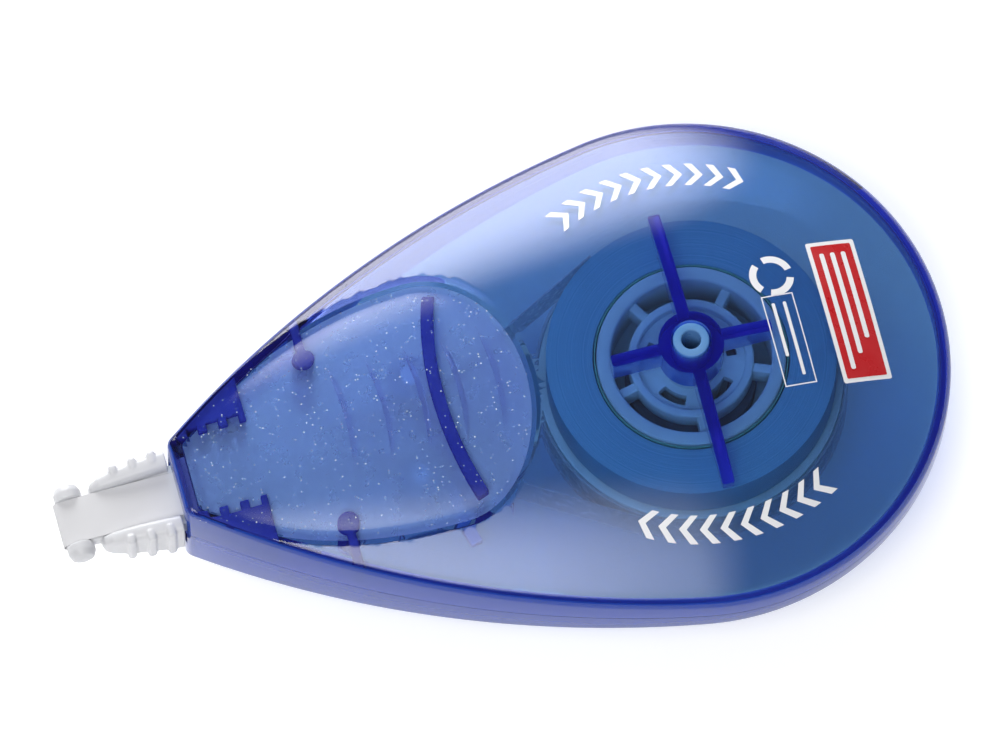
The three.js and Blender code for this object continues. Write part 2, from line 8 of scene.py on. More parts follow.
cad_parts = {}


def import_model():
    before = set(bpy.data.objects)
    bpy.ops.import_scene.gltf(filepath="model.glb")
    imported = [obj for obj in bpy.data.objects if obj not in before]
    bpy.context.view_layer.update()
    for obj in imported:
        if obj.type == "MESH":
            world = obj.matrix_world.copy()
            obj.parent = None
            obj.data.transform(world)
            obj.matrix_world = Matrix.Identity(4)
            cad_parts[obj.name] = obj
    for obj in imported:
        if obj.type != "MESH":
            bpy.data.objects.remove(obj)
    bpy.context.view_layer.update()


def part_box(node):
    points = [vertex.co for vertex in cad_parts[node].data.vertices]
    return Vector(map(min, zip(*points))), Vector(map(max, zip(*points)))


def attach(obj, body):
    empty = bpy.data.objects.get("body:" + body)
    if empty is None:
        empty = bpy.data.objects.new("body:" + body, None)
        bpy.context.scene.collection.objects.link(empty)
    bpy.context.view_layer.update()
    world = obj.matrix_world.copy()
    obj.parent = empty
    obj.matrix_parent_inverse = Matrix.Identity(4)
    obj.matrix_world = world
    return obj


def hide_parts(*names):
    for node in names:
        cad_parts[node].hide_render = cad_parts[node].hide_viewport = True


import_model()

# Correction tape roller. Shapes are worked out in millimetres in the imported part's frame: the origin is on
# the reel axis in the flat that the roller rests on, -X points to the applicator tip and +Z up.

MM = 0.001

# ---- sizes read from the frame ----


def box_mm(node):
    low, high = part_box(node)
    return [v / MM for v in low], [v / MM for v in high]


SHELL_LOW, SHELL_HIGH = box_mm("top_shell")
HEAD_LOW, _ = box_mm("applicator_head")
PACK_LOW, PACK_HIGH = box_mm("supply_tape")
CORE_LOW, CORE_HIGH = box_mm("supply_core")
DRUM_LOW, DRUM_HIGH = box_mm("takeup_drum")
USED_LOW, USED_HIGH = box_mm("takeup_tape")
CLUTCH_LOW, CLUTCH_HIGH = box_mm("clutch_ring")
AXLE_LOW, AXLE_HIGH = box_mm("reel_axle")

# ---- casing ----

NOSE_X = SHELL_LOW[0]
REAR_RADIUS = SHELL_HIGH[0]
PARTING_GAP = 0.15
MID_Z = SHELL_LOW[2] - PARTING_GAP  # the plane where the two shells meet
WALL = 1.2
SIDE_RADIUS = 118.7
SIDE_START = math.radians(10.9)
RIM_NOSE = 6.5  # height of the side wall over the parting plane
RIM_REAR = 2.0
CROWN_TOP = 9.7  # height of the dome over it
CROWN_BOTTOM = 11.3  # the bottom dome is cut flat where the roller rests
NOSE_DROP = 3.1
CORNER = 1.3  # rounding of the nose's two upright edges
EDGE = 0.8  # rounding between the side wall and the dome

RECESS_DEPTH = 0.7
RECESS_REAR_X = -16.4
RECESS_WIDEST_X = -27.0
RECESS_NOSE_X = -54.1
RECESS_HALF_WIDTH = 14.2
RECESS_ARC = 43.3
RECESS_Y = 1.1
STEP_WIDTH = 1.8  # of the soft step round the grip recess
INNER_STEP_WIDTH = 3.0
GRIP_RIBS = 5
GRIP_RIB_FIRST_X = -37.0
GRIP_RIB_PITCH = 4.0
GRIP_RIB_HALF_LENGTH = 6.0
GRIP_RIB_BOW = 0.7

BEYOND = 20.0  # past every surface, for fittings that are trimmed to the skin
ARM_LOW_Z = 14.7
ARM_HALF = 0.65
LONG_ARM = 15.2
SHORT_ARM = 8.5
HUB_LOW_Z = 14.3
HUB_RADIUS = 3.4
PARTITION_CENTRE = (8.3, 1.2)
PARTITION_RADIUS = 35.0
PARTITION_HALF = 0.65
AXLE_RADIUS = AXLE_HIGH[0]
AXLE_BORE = 1.0
RUNNING_GAP = 0.2
BOSS = (-39.0, 9.3)
BOSS_RADIUS = 1.15
BOSS_WEB_HALF = 0.45
TOOTH_CENTRES = (-52.1, -49.9, -47.7)
TOOTH_HALF = 0.35
NOTCH_HALF = 0.65
RACK_FRONT_X = -54.4
RACK_REAR_X = -46.4
RACK_INNER_Y = 4.2

# ---- reels, rollers, head and tape ----

ROLLERS = {"feed": (-28.7, 5.1), "return": (-29.8, -3.7)}
ROLLER_RADIUS = 2.4
POST_RADIUS = 1.0
FOOT_RADIUS = 1.9
TAPE_WIDTH = PACK_HIGH[2] - PACK_LOW[2]
TAPE_CLEARANCE = 0.13  # between the tape and what it runs round
CORE_DISC_RADIUS = 6.5
SPOKES = 5
SPOKE_START = 49.5
DRUM_WINDOWS = 4
DRUM_WINDOW_SWEEP = math.radians(72)
SHANK_END_X = -46.6
SHANK_HALF_THICKNESS = 1.1
TONGUE_HALF_WIDTH = 2.6

# ---- prints, light and camera ----

PRINT_RADIUS = 19.75  # of the two arcs of marks
FLOOR_GLOW = 0.35
WORLD_STRENGTH = 0.18
CAMERA_AZIMUTH = math.radians(-14.7)
CAMERA_ELEVATION = math.radians(69.2)
CAMERA_DISTANCE = 2500.0
VIEW_WIDTH = 1000 / 9.68  # millimetres across the picture at the object
VIEW_RIGHT = -19.75  # from the hub's top to the picture's middle, across and up the picture
VIEW_UP = -3.7

SIDE_CENTRE = np.array([math.sin(SIDE_START), -math.cos(SIDE_START)]) * (SIDE_RADIUS - REAR_RADIUS)


# ---- mesh helpers ----


def add_object(name, data):
    obj = bpy.data.objects.new(name, data)
    bpy.context.scene.collection.objects.link(obj)
    return obj


def make_object(name, verts, faces):
    """A new mesh object from vertices in millimetres."""
    mesh = bpy.data.meshes.new(name)
    mesh.from_pydata([tuple(float(c) * MM for c in v) for v in verts], [], faces)
    mesh.validate()
    obj = add_object(name, mesh)
    clean_normals(obj)
    shade(obj)
    return obj


def clean_normals(obj):
    bm = bmesh.new()
    bm.from_mesh(obj.data)
    bmesh.ops.remove_doubles(bm, verts=bm.verts, dist=1e-7)
    bmesh.ops.recalc_face_normals(bm, faces=bm.faces)
    if bm.calc_volume(signed=True) < 0:
        bmesh.ops.reverse_faces(bm, faces=bm.faces)
    bm.to_mesh(obj.data)
    bm.free()


def shade(obj, sharp=32):
    obj.data.shade_smooth()
    obj.data.set_sharp_from_angle(angle=math.radians(sharp))


def apply_modifiers(obj):
    depsgraph = bpy.context.evaluated_depsgraph_get()
    made = bpy.data.meshes.new_from_object(obj.evaluated_get(depsgraph))
    obj.modifiers.clear()
    old = obj.data
    obj.data = made
    bpy.data.meshes.remove(old)


def boolean(obj, other, operation):
    """Joins, cuts or intersects obj with another closed mesh, which is used up."""
    modifier = obj.modifiers.new("cut", "BOOLEAN")
    modifier.operation = operation
    modifier.solver = "MANIFOLD"
    modifier.object = other
    apply_modifiers(obj)
    mesh = other.data
    bpy.data.objects.remove(other)
    bpy.data.meshes.remove(mesh)
    return obj


def join(first, *others):
    for other in others:
        boolean(first, other, "UNION")
    return first


def cut(first, *others):
    for other in others:
        boolean(first, other, "DIFFERENCE")
    return first


def bevel(obj, width, segments=3, angle=30):
    modifier = obj.modifiers.new("bevel", "BEVEL")
    modifier.width = width * MM
    modifier.segments = segments
    modifier.limit_method = "ANGLE"
    modifier.angle_limit = math.radians(angle)
    apply_modifiers(obj)
    return obj


def move(obj, matrix):
    obj.data.transform(matrix)
    return obj


def turned(obj, degrees):
    return move(obj, Matrix.Rotation(math.radians(degrees), 4, "Z"))


def turn_over(obj):
    """From the upright frame of a half casing, with the parting plane at z 0, to the bottom shell's place."""
    move(obj, Matrix.Translation((0, 0, MID_Z * MM)) @ Matrix.Rotation(math.pi, 4, "X"))
    return obj


def lift(obj):
    return move(obj, Matrix.Translation((0, 0, MID_Z * MM)))


def polar(radius, angle, centre=(0, 0)):
    return centre[0] + radius * math.cos(angle), centre[1] + radius * math.sin(angle)


def band(inner, outer, angles, centre=(0, 0)):
    """Outline of a stretch of a ring, over the given angles."""
    there = [polar(outer, a, centre) for a in angles]
    back = [polar(inner, a, centre) for a in angles[::-1]]
    return there + back


def full_turn(steps):
    return np.linspace(0, 2 * math.pi, steps + 1)[:-1]


def lathe(name, profile, centre=(0, 0), steps=96):
    """A closed (r, z) profile turned about the upright axis through centre."""
    verts = []
    for i in range(steps):
        angle = 2 * math.pi * i / steps
        verts += [(*polar(r, angle, centre), z) for r, z in profile]
    count = len(profile)
    faces = []
    for i in range(steps):
        a, b = i * count, ((i + 1) % steps) * count
        faces += [(a + k, b + k, b + (k + 1) % count, a + (k + 1) % count) for k in range(count)]
    return make_object(name, verts, faces)


def rounded(points, radius, steps=3):
    """Closed 2-D outline with each corner rounded."""
    made = []
    count = len(points)
    for i, point in enumerate(points):
        here = np.array(point, float)
        before = np.array(points[i - 1], float) - here
        after = np.array(points[(i + 1) % count], float) - here
        reach = min(radius, 0.45 * np.linalg.norm(before), 0.45 * np.linalg.norm(after))
        start = here + before / np.linalg.norm(before) * reach
        end = here + after / np.linalg.norm(after) * reach
        for k in range(steps + 1):
            t = k / steps
            made.append(tuple((1 - t) ** 2 * start + 2 * t * (1 - t) * here + t**2 * end))
    return made


def ring(name, outer, inner, z0, z1, centre=(0, 0), steps=96, radius=0.12):
    profile = rounded([(inner, z0), (outer, z0), (outer, z1), (inner, z1)], radius)
    return lathe(name, profile, centre, steps)


def disc(name, radius, z0, z1, centre=(0, 0), steps=64):
    """A closed cylinder with flat ends, for joining and cutting."""
    return prism(name, [polar(radius, 2 * math.pi * i / steps, centre) for i in range(steps)], z0, z1)


def prism(name, outline, z0, z1):
    count = len(outline)
    verts = [(x, y, z0) for x, y in outline] + [(x, y, z1) for x, y in outline]
    faces = [tuple(range(count))[::-1], tuple(range(count, 2 * count))]
    faces += [(i, (i + 1) % count, count + (i + 1) % count, count + i) for i in range(count)]
    return make_object(name, verts, faces)


def block(name, x0, x1, y0, y1, z0, z1):
    return prism(name, [(x0, y0), (x1, y0), (x1, y1), (x0, y1)], z0, z1)


def loft(name, rings):
    """A closed surface through rings that all have the same number of points."""
    count = len(rings[0])
    verts = [tuple(p) for points in rings for p in points]
    faces = []
    for r in range(len(rings) - 1):
        a, b = r * count, (r + 1) * count
        faces += [(a + i, a + (i + 1) % count, b + (i + 1) % count, b + i) for i in range(count)]
    last = (len(rings) - 1) * count
    faces.append(tuple(range(count))[::-1])
    faces.append(tuple(range(last, last + count)))
    return make_object(name, verts, faces)


# ---- casing outline and heights ----


def arc(centre, radius, start, end, steps):
    angles = np.linspace(start, end, steps)
    return np.stack([centre[0] + radius * np.cos(angles), centre[1] + radius * np.sin(angles)], axis=1)


def casing_outline(inset=0.0):
    """The casing's outline moved inward, counter-clockwise, always with the same number of points."""
    rear_end = math.pi / 2 + SIDE_START
    corner_x = NOSE_X + CORNER
    drop = math.sqrt((SIDE_RADIUS - CORNER) ** 2 - (corner_x - SIDE_CENTRE[0]) ** 2)
    corner = np.array([corner_x, SIDE_CENTRE[1] + drop])
    lean = math.atan2(*(corner - SIDE_CENTRE)[::-1])
    rear = arc((0, 0), REAR_RADIUS - inset, 0, rear_end, 60)
    side = arc(SIDE_CENTRE, SIDE_RADIUS - inset, rear_end, lean, 60)[1:]
    bend = arc(corner, max(CORNER - inset, 0.02), lean, math.pi, 9)[1:]
    if inset > CORNER:
        side = side[side[:, 0] > NOSE_X + inset]
        side = resample(np.vstack([side, nose_corner(inset)]), 59)
        bend = np.linspace(nose_corner(inset), (NOSE_X + inset, nose_corner(inset)[1] - 0.15), 9)[1:]
    nose = np.linspace(bend[-1], (bend[-1][0], 0), 7)[1:]
    upper = np.vstack([rear, side, bend, nose])
    lower = upper[1:-1][::-1] * (1, -1)
    return np.vstack([upper, lower])


def nose_corner(inset):
    x = NOSE_X + inset
    return np.array([x, SIDE_CENTRE[1] + math.sqrt((SIDE_RADIUS - inset) ** 2 - (x - SIDE_CENTRE[0]) ** 2)])


def resample(points, count):
    lengths = np.concatenate([[0], np.cumsum(np.linalg.norm(np.diff(points, axis=0), axis=1))])
    wanted = np.linspace(0, lengths[-1], count)
    return np.stack([np.interp(wanted, lengths, points[:, k]) for k in (0, 1)], axis=1)


def half_width(x):
    x = np.asarray(x, float)
    rear = np.sqrt(np.maximum(REAR_RADIUS**2 - x**2, 1e-6))
    side = SIDE_CENTRE[1] + np.sqrt(np.maximum(SIDE_RADIUS**2 - (x - SIDE_CENTRE[0]) ** 2, 1e-6))
    return np.where(x > -REAR_RADIUS * math.sin(SIDE_START), rear, side)


def dome(x, y, crown):
    """Height of a casing dome over the parting plane."""
    forward = (REAR_RADIUS - x) / (REAR_RADIUS - NOSE_X)
    rim = RIM_REAR + (RIM_NOSE - RIM_REAR) * np.maximum(forward, 0) ** 1.6
    middle = crown - NOSE_DROP * (np.minimum(x, 0) / NOSE_X) ** 2
    reach = np.where(x < 0, np.abs(y) / half_width(x), np.hypot(x, y) / REAR_RADIUS)
    return rim + (middle - rim) * (1 - np.minimum(reach, 1) ** 2)


def recess_outline(grow=0.0, cap_steps=60, side_steps=44):
    """Grip recess: half an ellipse at the rear and two long arcs that run forward to the nose."""
    nose_x = RECESS_NOSE_X - grow
    cap_angles = np.linspace(-math.pi / 2, math.pi / 2, cap_steps)
    cap_x = RECESS_WIDEST_X + (RECESS_REAR_X + grow - RECESS_WIDEST_X) * np.cos(cap_angles)
    cap_y = (RECESS_HALF_WIDTH + grow) * np.sin(cap_angles) + RECESS_Y
    side_x = np.linspace(RECESS_WIDEST_X, nose_x, side_steps)[1:]
    half = RECESS_HALF_WIDTH + grow - RECESS_ARC + np.sqrt(RECESS_ARC**2 - (RECESS_WIDEST_X - side_x) ** 2)
    t = np.clip((side_x - RECESS_NOSE_X) / (RECESS_WIDEST_X - RECESS_NOSE_X), 0, 1)
    lean = RECESS_Y * t * t * (3 - 2 * t)
    upper = np.stack([side_x, half + lean], axis=1)
    lower = np.stack([side_x, lean - half], axis=1)[::-1]
    cap = np.stack([cap_x, cap_y], axis=1)
    nose_y = np.linspace(upper[-1, 1], lower[0, 1], 16)[1:-1]
    nose = np.stack([np.full_like(nose_y, nose_x), nose_y], axis=1)
    return np.vstack([cap, upper, nose, lower])


# ---- casing solids ----


def half_solid(name, crown, inset, below, sink, edge, cap_z=None):
    """A closed half casing: side wall, rounded edge and dome. sink lowers the dome, cap_z cuts it flat."""
    steps = [0, 0.04, 0.13, 0.27, 0.45, 0.7, 1.0]
    centre = np.array([-10.0, 0.0])

    def top(points, d=None):
        z = dome(points[:, 0], points[:, 1], crown) - sink
        if cap_z is not None:
            z = smooth_min(z, cap_z)
        if d is not None:
            z = z - (edge - math.sqrt(max(edge**2 - (edge - d) ** 2, 0)))
        return z

    rings = [[(x, y, below) for x, y in casing_outline(inset)]]
    for t in steps:
        points = casing_outline(inset + t * edge)
        rings.append(list(zip(points[:, 0], points[:, 1], top(points, t * edge))))
    base = casing_outline(inset + edge)
    for s in np.linspace(1, 0.02, 46)[1:]:
        points = centre + (base - centre) * s
        rings.append(list(zip(points[:, 0], points[:, 1], top(points))))
    return loft(name, rings)


def smooth_min(a, b, blend=0.25):
    h = np.clip(0.5 + 0.5 * (b - a) / blend, 0, 1)
    return b * (1 - h) + a * h - blend * h * (1 - h)


def recess_cutter(name, crown, depth, grow, cap_z=None, step_width=STEP_WIDTH):
    """What the grip recess takes away: a floor that follows the dome, with a soft step up to it."""
    centre = np.array([(RECESS_REAR_X + RECESS_NOSE_X) / 2, RECESS_Y / 2])
    clear_above = 0.12

    def floor(points):
        z = dome(points[:, 0], points[:, 1], crown)
        return z if cap_z is None else smooth_min(z, cap_z)

    rings = []
    inner = recess_outline(grow - step_width)
    for s in np.linspace(0.02, 1, 26)[:-1]:
        points = centre + (inner - centre) * s
        rings.append(list(zip(points[:, 0], points[:, 1], floor(points) - depth)))
    for t in np.linspace(0, 1, 16):
        points = recess_outline(grow + step_width * (t * 1.3 - 1))
        step = t * t * (3 - 2 * t) * (depth + clear_above)
        rings.append(list(zip(points[:, 0], points[:, 1], floor(points) - depth + step)))
    top = recess_outline(grow + step_width * 0.3)
    rings.append([(x, y, 24) for x, y in top])
    return loft(name, rings)


def partition(name, from_y, to_y, z0, z1):
    """A curved rib that bows towards the nose."""
    rise = np.arcsin((np.linspace(from_y, to_y, 18) - PARTITION_CENTRE[1]) / PARTITION_RADIUS)
    inner = PARTITION_RADIUS - PARTITION_HALF
    outer = PARTITION_RADIUS + PARTITION_HALF
    return bevel(prism(name, band(inner, outer, math.pi - rise, PARTITION_CENTRE), z0, z1), 0.15, 2)


def rack(side, z1):
    """The notched block beside the head's shank."""
    made = block("rack", RACK_FRONT_X, RACK_REAR_X, RACK_INNER_Y, 12, 0.1, z1)
    for x in TOOTH_CENTRES:
        cut(made, block("notch", x - NOTCH_HALF, x + NOTCH_HALF, RACK_INNER_Y - 1, 5.1, -1, z1 + 1))
    if side < 0:
        move(made, Matrix.Scale(-1, 4, (0, 1, 0)))
        clean_normals(made)
    return made


def snap_boss(side, z1):
    """A round boss with a web out to the side wall."""
    x, y = BOSS[0], side * BOSS[1]
    y0, y1 = sorted((y, side * BEYOND))
    web = block("web", x - BOSS_WEB_HALF, x + BOSS_WEB_HALF, y0, y1, 1.5, z1)
    return join(disc("boss", BOSS_RADIUS, 0.2, z1, (x, y)), web)


def grip_rib(index, crown, cap_z=None):
    """A thin raised rib, bowed towards the reels and fading out at its ends."""
    rings = []
    for s in np.linspace(-1, 1, 25):
        y = GRIP_RIB_HALF_LENGTH * s + RECESS_Y + 0.4
        x = GRIP_RIB_FIRST_X + GRIP_RIB_PITCH * index + GRIP_RIB_BOW * (1 - s * s)
        skin_z = float(dome(np.array([x]), np.array([y]), crown)[0])
        z = min(skin_z, skin_z if cap_z is None else cap_z) - RECESS_DEPTH
        size = 0.3 * max(1 - s**4, 0.03)
        rings.append([(x + size * math.cos(a), y, z + 1.1 * size * math.sin(a)) for a in full_turn(12)])
    return loft("grip", rings)


def half_casing(name, crown, fittings, cap_z=None):
    """Outer half with its grip recess, hollowed, with the fittings trimmed to stay under the skin."""
    floor_z = None if cap_z is None else cap_z - WALL
    body = half_solid(name, crown, 0, 0.04, 0, EDGE, cap_z)
    cut(body, recess_cutter("recess", crown, RECESS_DEPTH, 0, cap_z))
    cavity = half_solid("cavity", crown, WALL, -1, WALL, 0.5, floor_z)
    cut(cavity, recess_cutter("inner_recess", crown, RECESS_DEPTH + WALL, 1.2, cap_z, INNER_STEP_WIDTH))
    cut(body, cavity)
    join(body, trimmed(fittings, crown, 0.4, cap_z))
    for i in range(GRIP_RIBS):
        join(body, grip_rib(i, crown, cap_z))
    cut(body, block("nose_opening", NOSE_X - 1, NOSE_X + WALL + 0.4, -3.9, 3.9, -3.2, 3.2))
    return body


def trimmed(fittings, crown, under, cap_z=None):
    """The given fittings, cut off a little under the casing's skin."""
    trim = half_solid("trim", crown, 0.5, -5, under, 0.5, None if cap_z is None else cap_z - under)
    cut(trim, recess_cutter("trim_recess", crown, RECESS_DEPTH + under, 0.3, cap_z))
    inside = fittings[0]
    join(inside, *fittings[1:])
    boolean(inside, trim, "INTERSECT")
    return inside


def racks_and_bosses():
    return [rack(1, BEYOND), rack(-1, BEYOND), snap_boss(1, BEYOND), snap_boss(-1, BEYOND)]


def top_fittings():
    """The racks, snap bosses and partition of the top shell, so thick that they look solid violet."""
    parts = [
        partition("partition_low", -10.2, 1.4, 9 - MID_Z, BEYOND),
        partition("partition_high", 1.3, 12.6, 14.2 - MID_Z, BEYOND),
    ]
    made = trimmed(parts + racks_and_bosses(), CROWN_TOP, 0.2)
    for side in (1, -1):
        cut(made, disc("socket", 0.75, -1, 3.4, (BOSS[0], side * BOSS[1]), 24))
    made.name = "top_shell_fittings"
    return lift(made)


def bottom_fittings():
    """The same in the bottom shell, with pins on its bosses."""
    parts = [
        partition("partition_high", -12.6, -1.4, MID_Z - 8.5, BEYOND),
        partition("partition_low", -1.5, 10.2, MID_Z - 3.2, BEYOND),
    ]
    made = trimmed(parts + racks_and_bosses(), CROWN_BOTTOM, 0.4, MID_Z)
    for side in (1, -1):
        join(made, disc("pin", 0.5, -2.6, 1, (BOSS[0], side * BOSS[1]), 24))
    made.name = "bottom_shell_fittings"
    return turn_over(made)


def roller_posts():
    """The two posts that the guide rollers turn on, each on its foot."""
    made = []
    for kind, foot_z, post_z in (("feed", 8.4, 14.6), ("return", 3.2, 9.2)):
        x, y = ROLLERS[kind]
        foot = disc(f"{kind}_post", FOOT_RADIUS, 0.5, foot_z, (x, y))
        made.append(join(foot, disc("post", POST_RADIUS, foot_z - 0.4, post_z, (x, y), 40)))
    return made


def top_shell():
    """The top shell's skin, with its hub and the cross of arms."""
    low = ARM_LOW_Z - MID_Z
    fittings = [
        disc("hub", HUB_RADIUS, HUB_LOW_Z - MID_Z, BEYOND),
        bevel(block("long_arm", -ARM_HALF, ARM_HALF, -LONG_ARM, LONG_ARM, low, BEYOND), 0.2, 2),
        bevel(block("short_arm", -SHORT_ARM, SHORT_ARM, -ARM_HALF, ARM_HALF, low, BEYOND), 0.2, 2),
    ]
    body = half_casing("top_shell_body", CROWN_TOP, fittings)
    cut(body, disc("axle_hole", AXLE_RADIUS + RUNNING_GAP, -1, BEYOND))
    return lift(body)


def bottom_shell():
    """The bottom shell's skin, with the boss that holds the axle."""
    boss = disc("boss", 3.3, MID_Z - 3, BEYOND)
    body = half_casing("bottom_shell_body", CROWN_BOTTOM, [boss], MID_Z)
    cut(body, disc("axle_seat", AXLE_RADIUS + 0.05, 0, MID_Z - 1.4))
    return turn_over(body)


# ---- reels ----


def supply_core():
    """Rim that carries the tape, five short spokes, and a dished disc round the hub tube."""
    z0, z1 = CORE_LOW[2], CORE_HIGH[2]
    radius = CORE_HIGH[0]
    body = ring("supply_core_body", radius, radius - 1.5, z0, z1, steps=160, radius=0.4)
    parts = [
        ring("hub", 3.0, AXLE_RADIUS + RUNNING_GAP, z0, z1 - 0.4, steps=64),
        ring("disc_edge", CORE_DISC_RADIUS, CORE_DISC_RADIUS - 0.9, 11, 13.6, steps=128, radius=0.3),
        ring("web", CORE_DISC_RADIUS - 0.2, 2.8, 11.4, 12.5, steps=128, radius=0.05),
    ]
    for i in range(SPOKES):
        spoke = bevel(block("spoke", CORE_DISC_RADIUS - 0.3, radius - 1, -0.5, 0.5, 10.6, 13.3), 0.15, 2)
        parts.append(turned(spoke, SPOKE_START + i * 360 / SPOKES))
    join(body, *parts)
    for i in range(SPOKES):
        slot = prism("window", kidney(4.3, 1.1, 38), 10, 13)
        cut(body, turned(slot, SPOKE_START + 36 + i * 360 / SPOKES))
    shade(body)
    return body


def kidney(radius, width, sweep, steps=10):
    """Outline of a curved slot with rounded ends, on a circle about the origin."""
    half = math.radians(sweep) / 2
    outline = band(radius - width / 2, radius + width / 2, np.linspace(-half, half, steps))
    return rounded(outline, 0.4, 2)


def supply_tape():
    radius = PACK_HIGH[0]
    inner = CORE_HIGH[0] + 0.35
    return ring("supply_tape_pack", radius, inner, PACK_LOW[2], PACK_HIGH[2], steps=200, radius=0.08)


def leader_band():
    low, high = box_mm("leader_band")
    return ring("leader_film", high[0], high[0] - 0.15, low[2], high[2] + 0.15, steps=160, radius=0.03)


def takeup_drum():
    radius = DRUM_HIGH[0]
    low, high = DRUM_LOW[2], DRUM_HIGH[2]
    body = ring("takeup_drum_body", radius, radius - 1, low, high, steps=180, radius=0.15)
    join(
        body,
        ring("web", radius - 0.5, 2.6, 5.4, 6.2, steps=160, radius=0.05),
        ring("hub", 3.2, AXLE_RADIUS + RUNNING_GAP, low, 7.2, steps=64),
    )
    for i in range(DRUM_WINDOWS):
        for name, z0, z1 in (("window", 6.5, 8.0), ("low_window", 4.0, 5.1)):
            cut(body, turned(drum_window(name, radius, z0, z1), i * 360 / DRUM_WINDOWS))
    shade(body)
    return body


def drum_window(name, radius, z0, z1):
    """A long slot through the drum's wall, between two straight uprights."""
    angles = np.linspace(-DRUM_WINDOW_SWEEP / 2, DRUM_WINDOW_SWEEP / 2, 24)
    return bevel(prism(name, band(radius - 1.8, radius + 2, angles), z0, z1), 0.4, 2, 60)


def takeup_tape():
    radius = USED_HIGH[0]
    return ring("takeup_tape_wrap", radius, radius - 0.3, USED_LOW[2], USED_HIGH[2], steps=200, radius=0.05)


def clutch_ring():
    return ring("clutch_felt", CLUTCH_HIGH[0], 3.9, CLUTCH_LOW[2], CLUTCH_HIGH[2], steps=96, radius=0.3)


def reel_axle():
    z0, z1 = AXLE_LOW[2], AXLE_HIGH[2]
    profile = [(AXLE_BORE, z0 + 0.7), (AXLE_RADIUS, z0), (AXLE_RADIUS, z1), (AXLE_BORE, z1)]
    return lathe("axle_pin", rounded(profile, 0.25), steps=64)


def guide_roller(kind):
    low, high = box_mm("guide_roller_" + kind)
    bore = POST_RADIUS + 0.15
    z0, z1 = low[2], high[2]
    profile = [
        (bore, z0),
        (ROLLER_RADIUS, z0),
        (ROLLER_RADIUS, z0 + 0.25),
        (ROLLER_RADIUS - 0.12, z0 + 0.35),
        (ROLLER_RADIUS - 0.12, z1 - 0.35),
        (ROLLER_RADIUS, z1 - 0.25),
        (ROLLER_RADIUS, z1),
        (bore, z1),
    ]
    return lathe(f"roller_{kind}", rounded(profile, 0.08, 2), ROLLERS[kind], 64)


# ---- applicator head ----


def applicator_head():
    """One moulding: tongue, tip knobs, ribbed cheeks, collar and toothed shank, with softened edges."""
    tip = HEAD_LOW[0]
    half = SHANK_HALF_THICKNESS
    upper = [(SHANK_END_X, half), (-62, 0.9), (tip, 0.42)]
    outline = [(SHANK_END_X, -half), *upper, (tip, -0.42), (-62, -0.9)]
    body = prism("head_body", outline, -TONGUE_HALF_WIDTH, TONGUE_HALF_WIDTH)
    move(body, Matrix.Rotation(math.pi / 2, 4, "X"))
    parts = [
        block("shank", -58, SHANK_END_X, -3.3, 3.3, -half, half),
        block("collar", -56.2, -55.2, -4.4, 4.4, -half, half),
    ]
    for side in (1, -1):
        for x in TOOTH_CENTRES:
            y0, y1 = sorted((side * 3, side * 4.4))
            parts.append(block("tooth", x - TOOTH_HALF, x + TOOTH_HALF, y0, y1, -half, half))
        parts += cheek(side)
        parts.append(knob(side, tip))
    join(body, *parts)
    soften(body, 0.11, 3)
    return lift(body)


def cheek(side):
    """A tapering side cheek with three upright ribs."""
    stations = [  # x, inner y, outer y and half height
        (-63.7, 2.75, 3.1, 0.5),
        (-63.4, 2.5, 3.5, 1.2),
        (-62.6, 2.45, 3.8, 1.75),
        (-61.2, 2.45, 4.05, 2.15),
        (-59, 2.5, 4.3, 2.45),
        (-57, 2.6, 4.5, 2.6),
        (-55.25, 2.7, 4.6, 2.7),
    ]
    rings = []
    for x, y0, y1, z in stations:
        section = rounded([(y0, -z), (y1, -z), (y1, z), (y0, z)], 0.7 * min(1, z / 2), 4)
        rings.append([(x, side * y, height) for y, height in section])
    made = [loft("cheek", rings)]
    for x, top, reach in ((-60.8, 2.3, 4.5), (-58.7, 2.5, 4.7), (-56.6, 2.65, 4.85)):
        y0, y1 = sorted((side * 3.4, side * reach))
        made.append(bevel(block("rib", x - 0.45, x + 0.45, y0, y1, -top - 0.1, top + 0.1), 0.3, 3))
    return made


def knob(side, tip):
    """A rounded end disc that keeps the tape centred on the tip."""
    radius = 1.45
    profile = [(radius, 0.0), (radius, 0.9), (radius * 0.8, 1.5), (radius * 0.35, 1.75)]
    middle = tip + radius + 0.03
    rings = []
    for r, out in profile:
        y = side * (2.45 + out)
        rings.append([(middle + r * math.cos(a), y, r * math.sin(a)) for a in full_turn(32)])
    return loft("knob", rings)


def soften(obj, voxel, rounds):
    """Rounds every edge a little, as a moulded part has."""
    remesh = obj.modifiers.new("remesh", "REMESH")
    remesh.mode = "VOXEL"
    remesh.voxel_size = voxel * MM
    smooth = obj.modifiers.new("smooth", "SMOOTH")
    smooth.factor = 0.5
    smooth.iterations = rounds
    apply_modifiers(obj)
    shade(obj, 180)


# ---- tape path ----


def ribbon(name, stations, width, thickness=0.1):
    """A thin band. Each station has its middle point and the direction of its width."""
    points = [np.array(p, float) for p, _ in stations]
    rings = []
    for i, (point, across) in enumerate(stations):
        along = points[min(i + 1, len(points) - 1)] - points[max(i - 1, 0)]
        across = np.array(across, float)
        normal = np.cross(along, across)
        normal /= np.linalg.norm(normal)
        half = across * width / 2
        off = normal * thickness / 2
        rings.append([point - half - off, point + half - off, point + half + off, point - half + off])
    return loft(name, rings)


def crossed_tangent(reel_radius, roller, roller_radius, side):
    """Where a straight run of tape leaves a reel and meets the far side of a guide roller."""
    distance = math.hypot(*roller)
    angle = math.atan2(roller[1], roller[0]) - side * math.acos((reel_radius + roller_radius) / distance)
    radial = np.array([math.cos(angle), math.sin(angle)])
    return radial * reel_radius, np.array(roller) - radial * roller_radius, angle


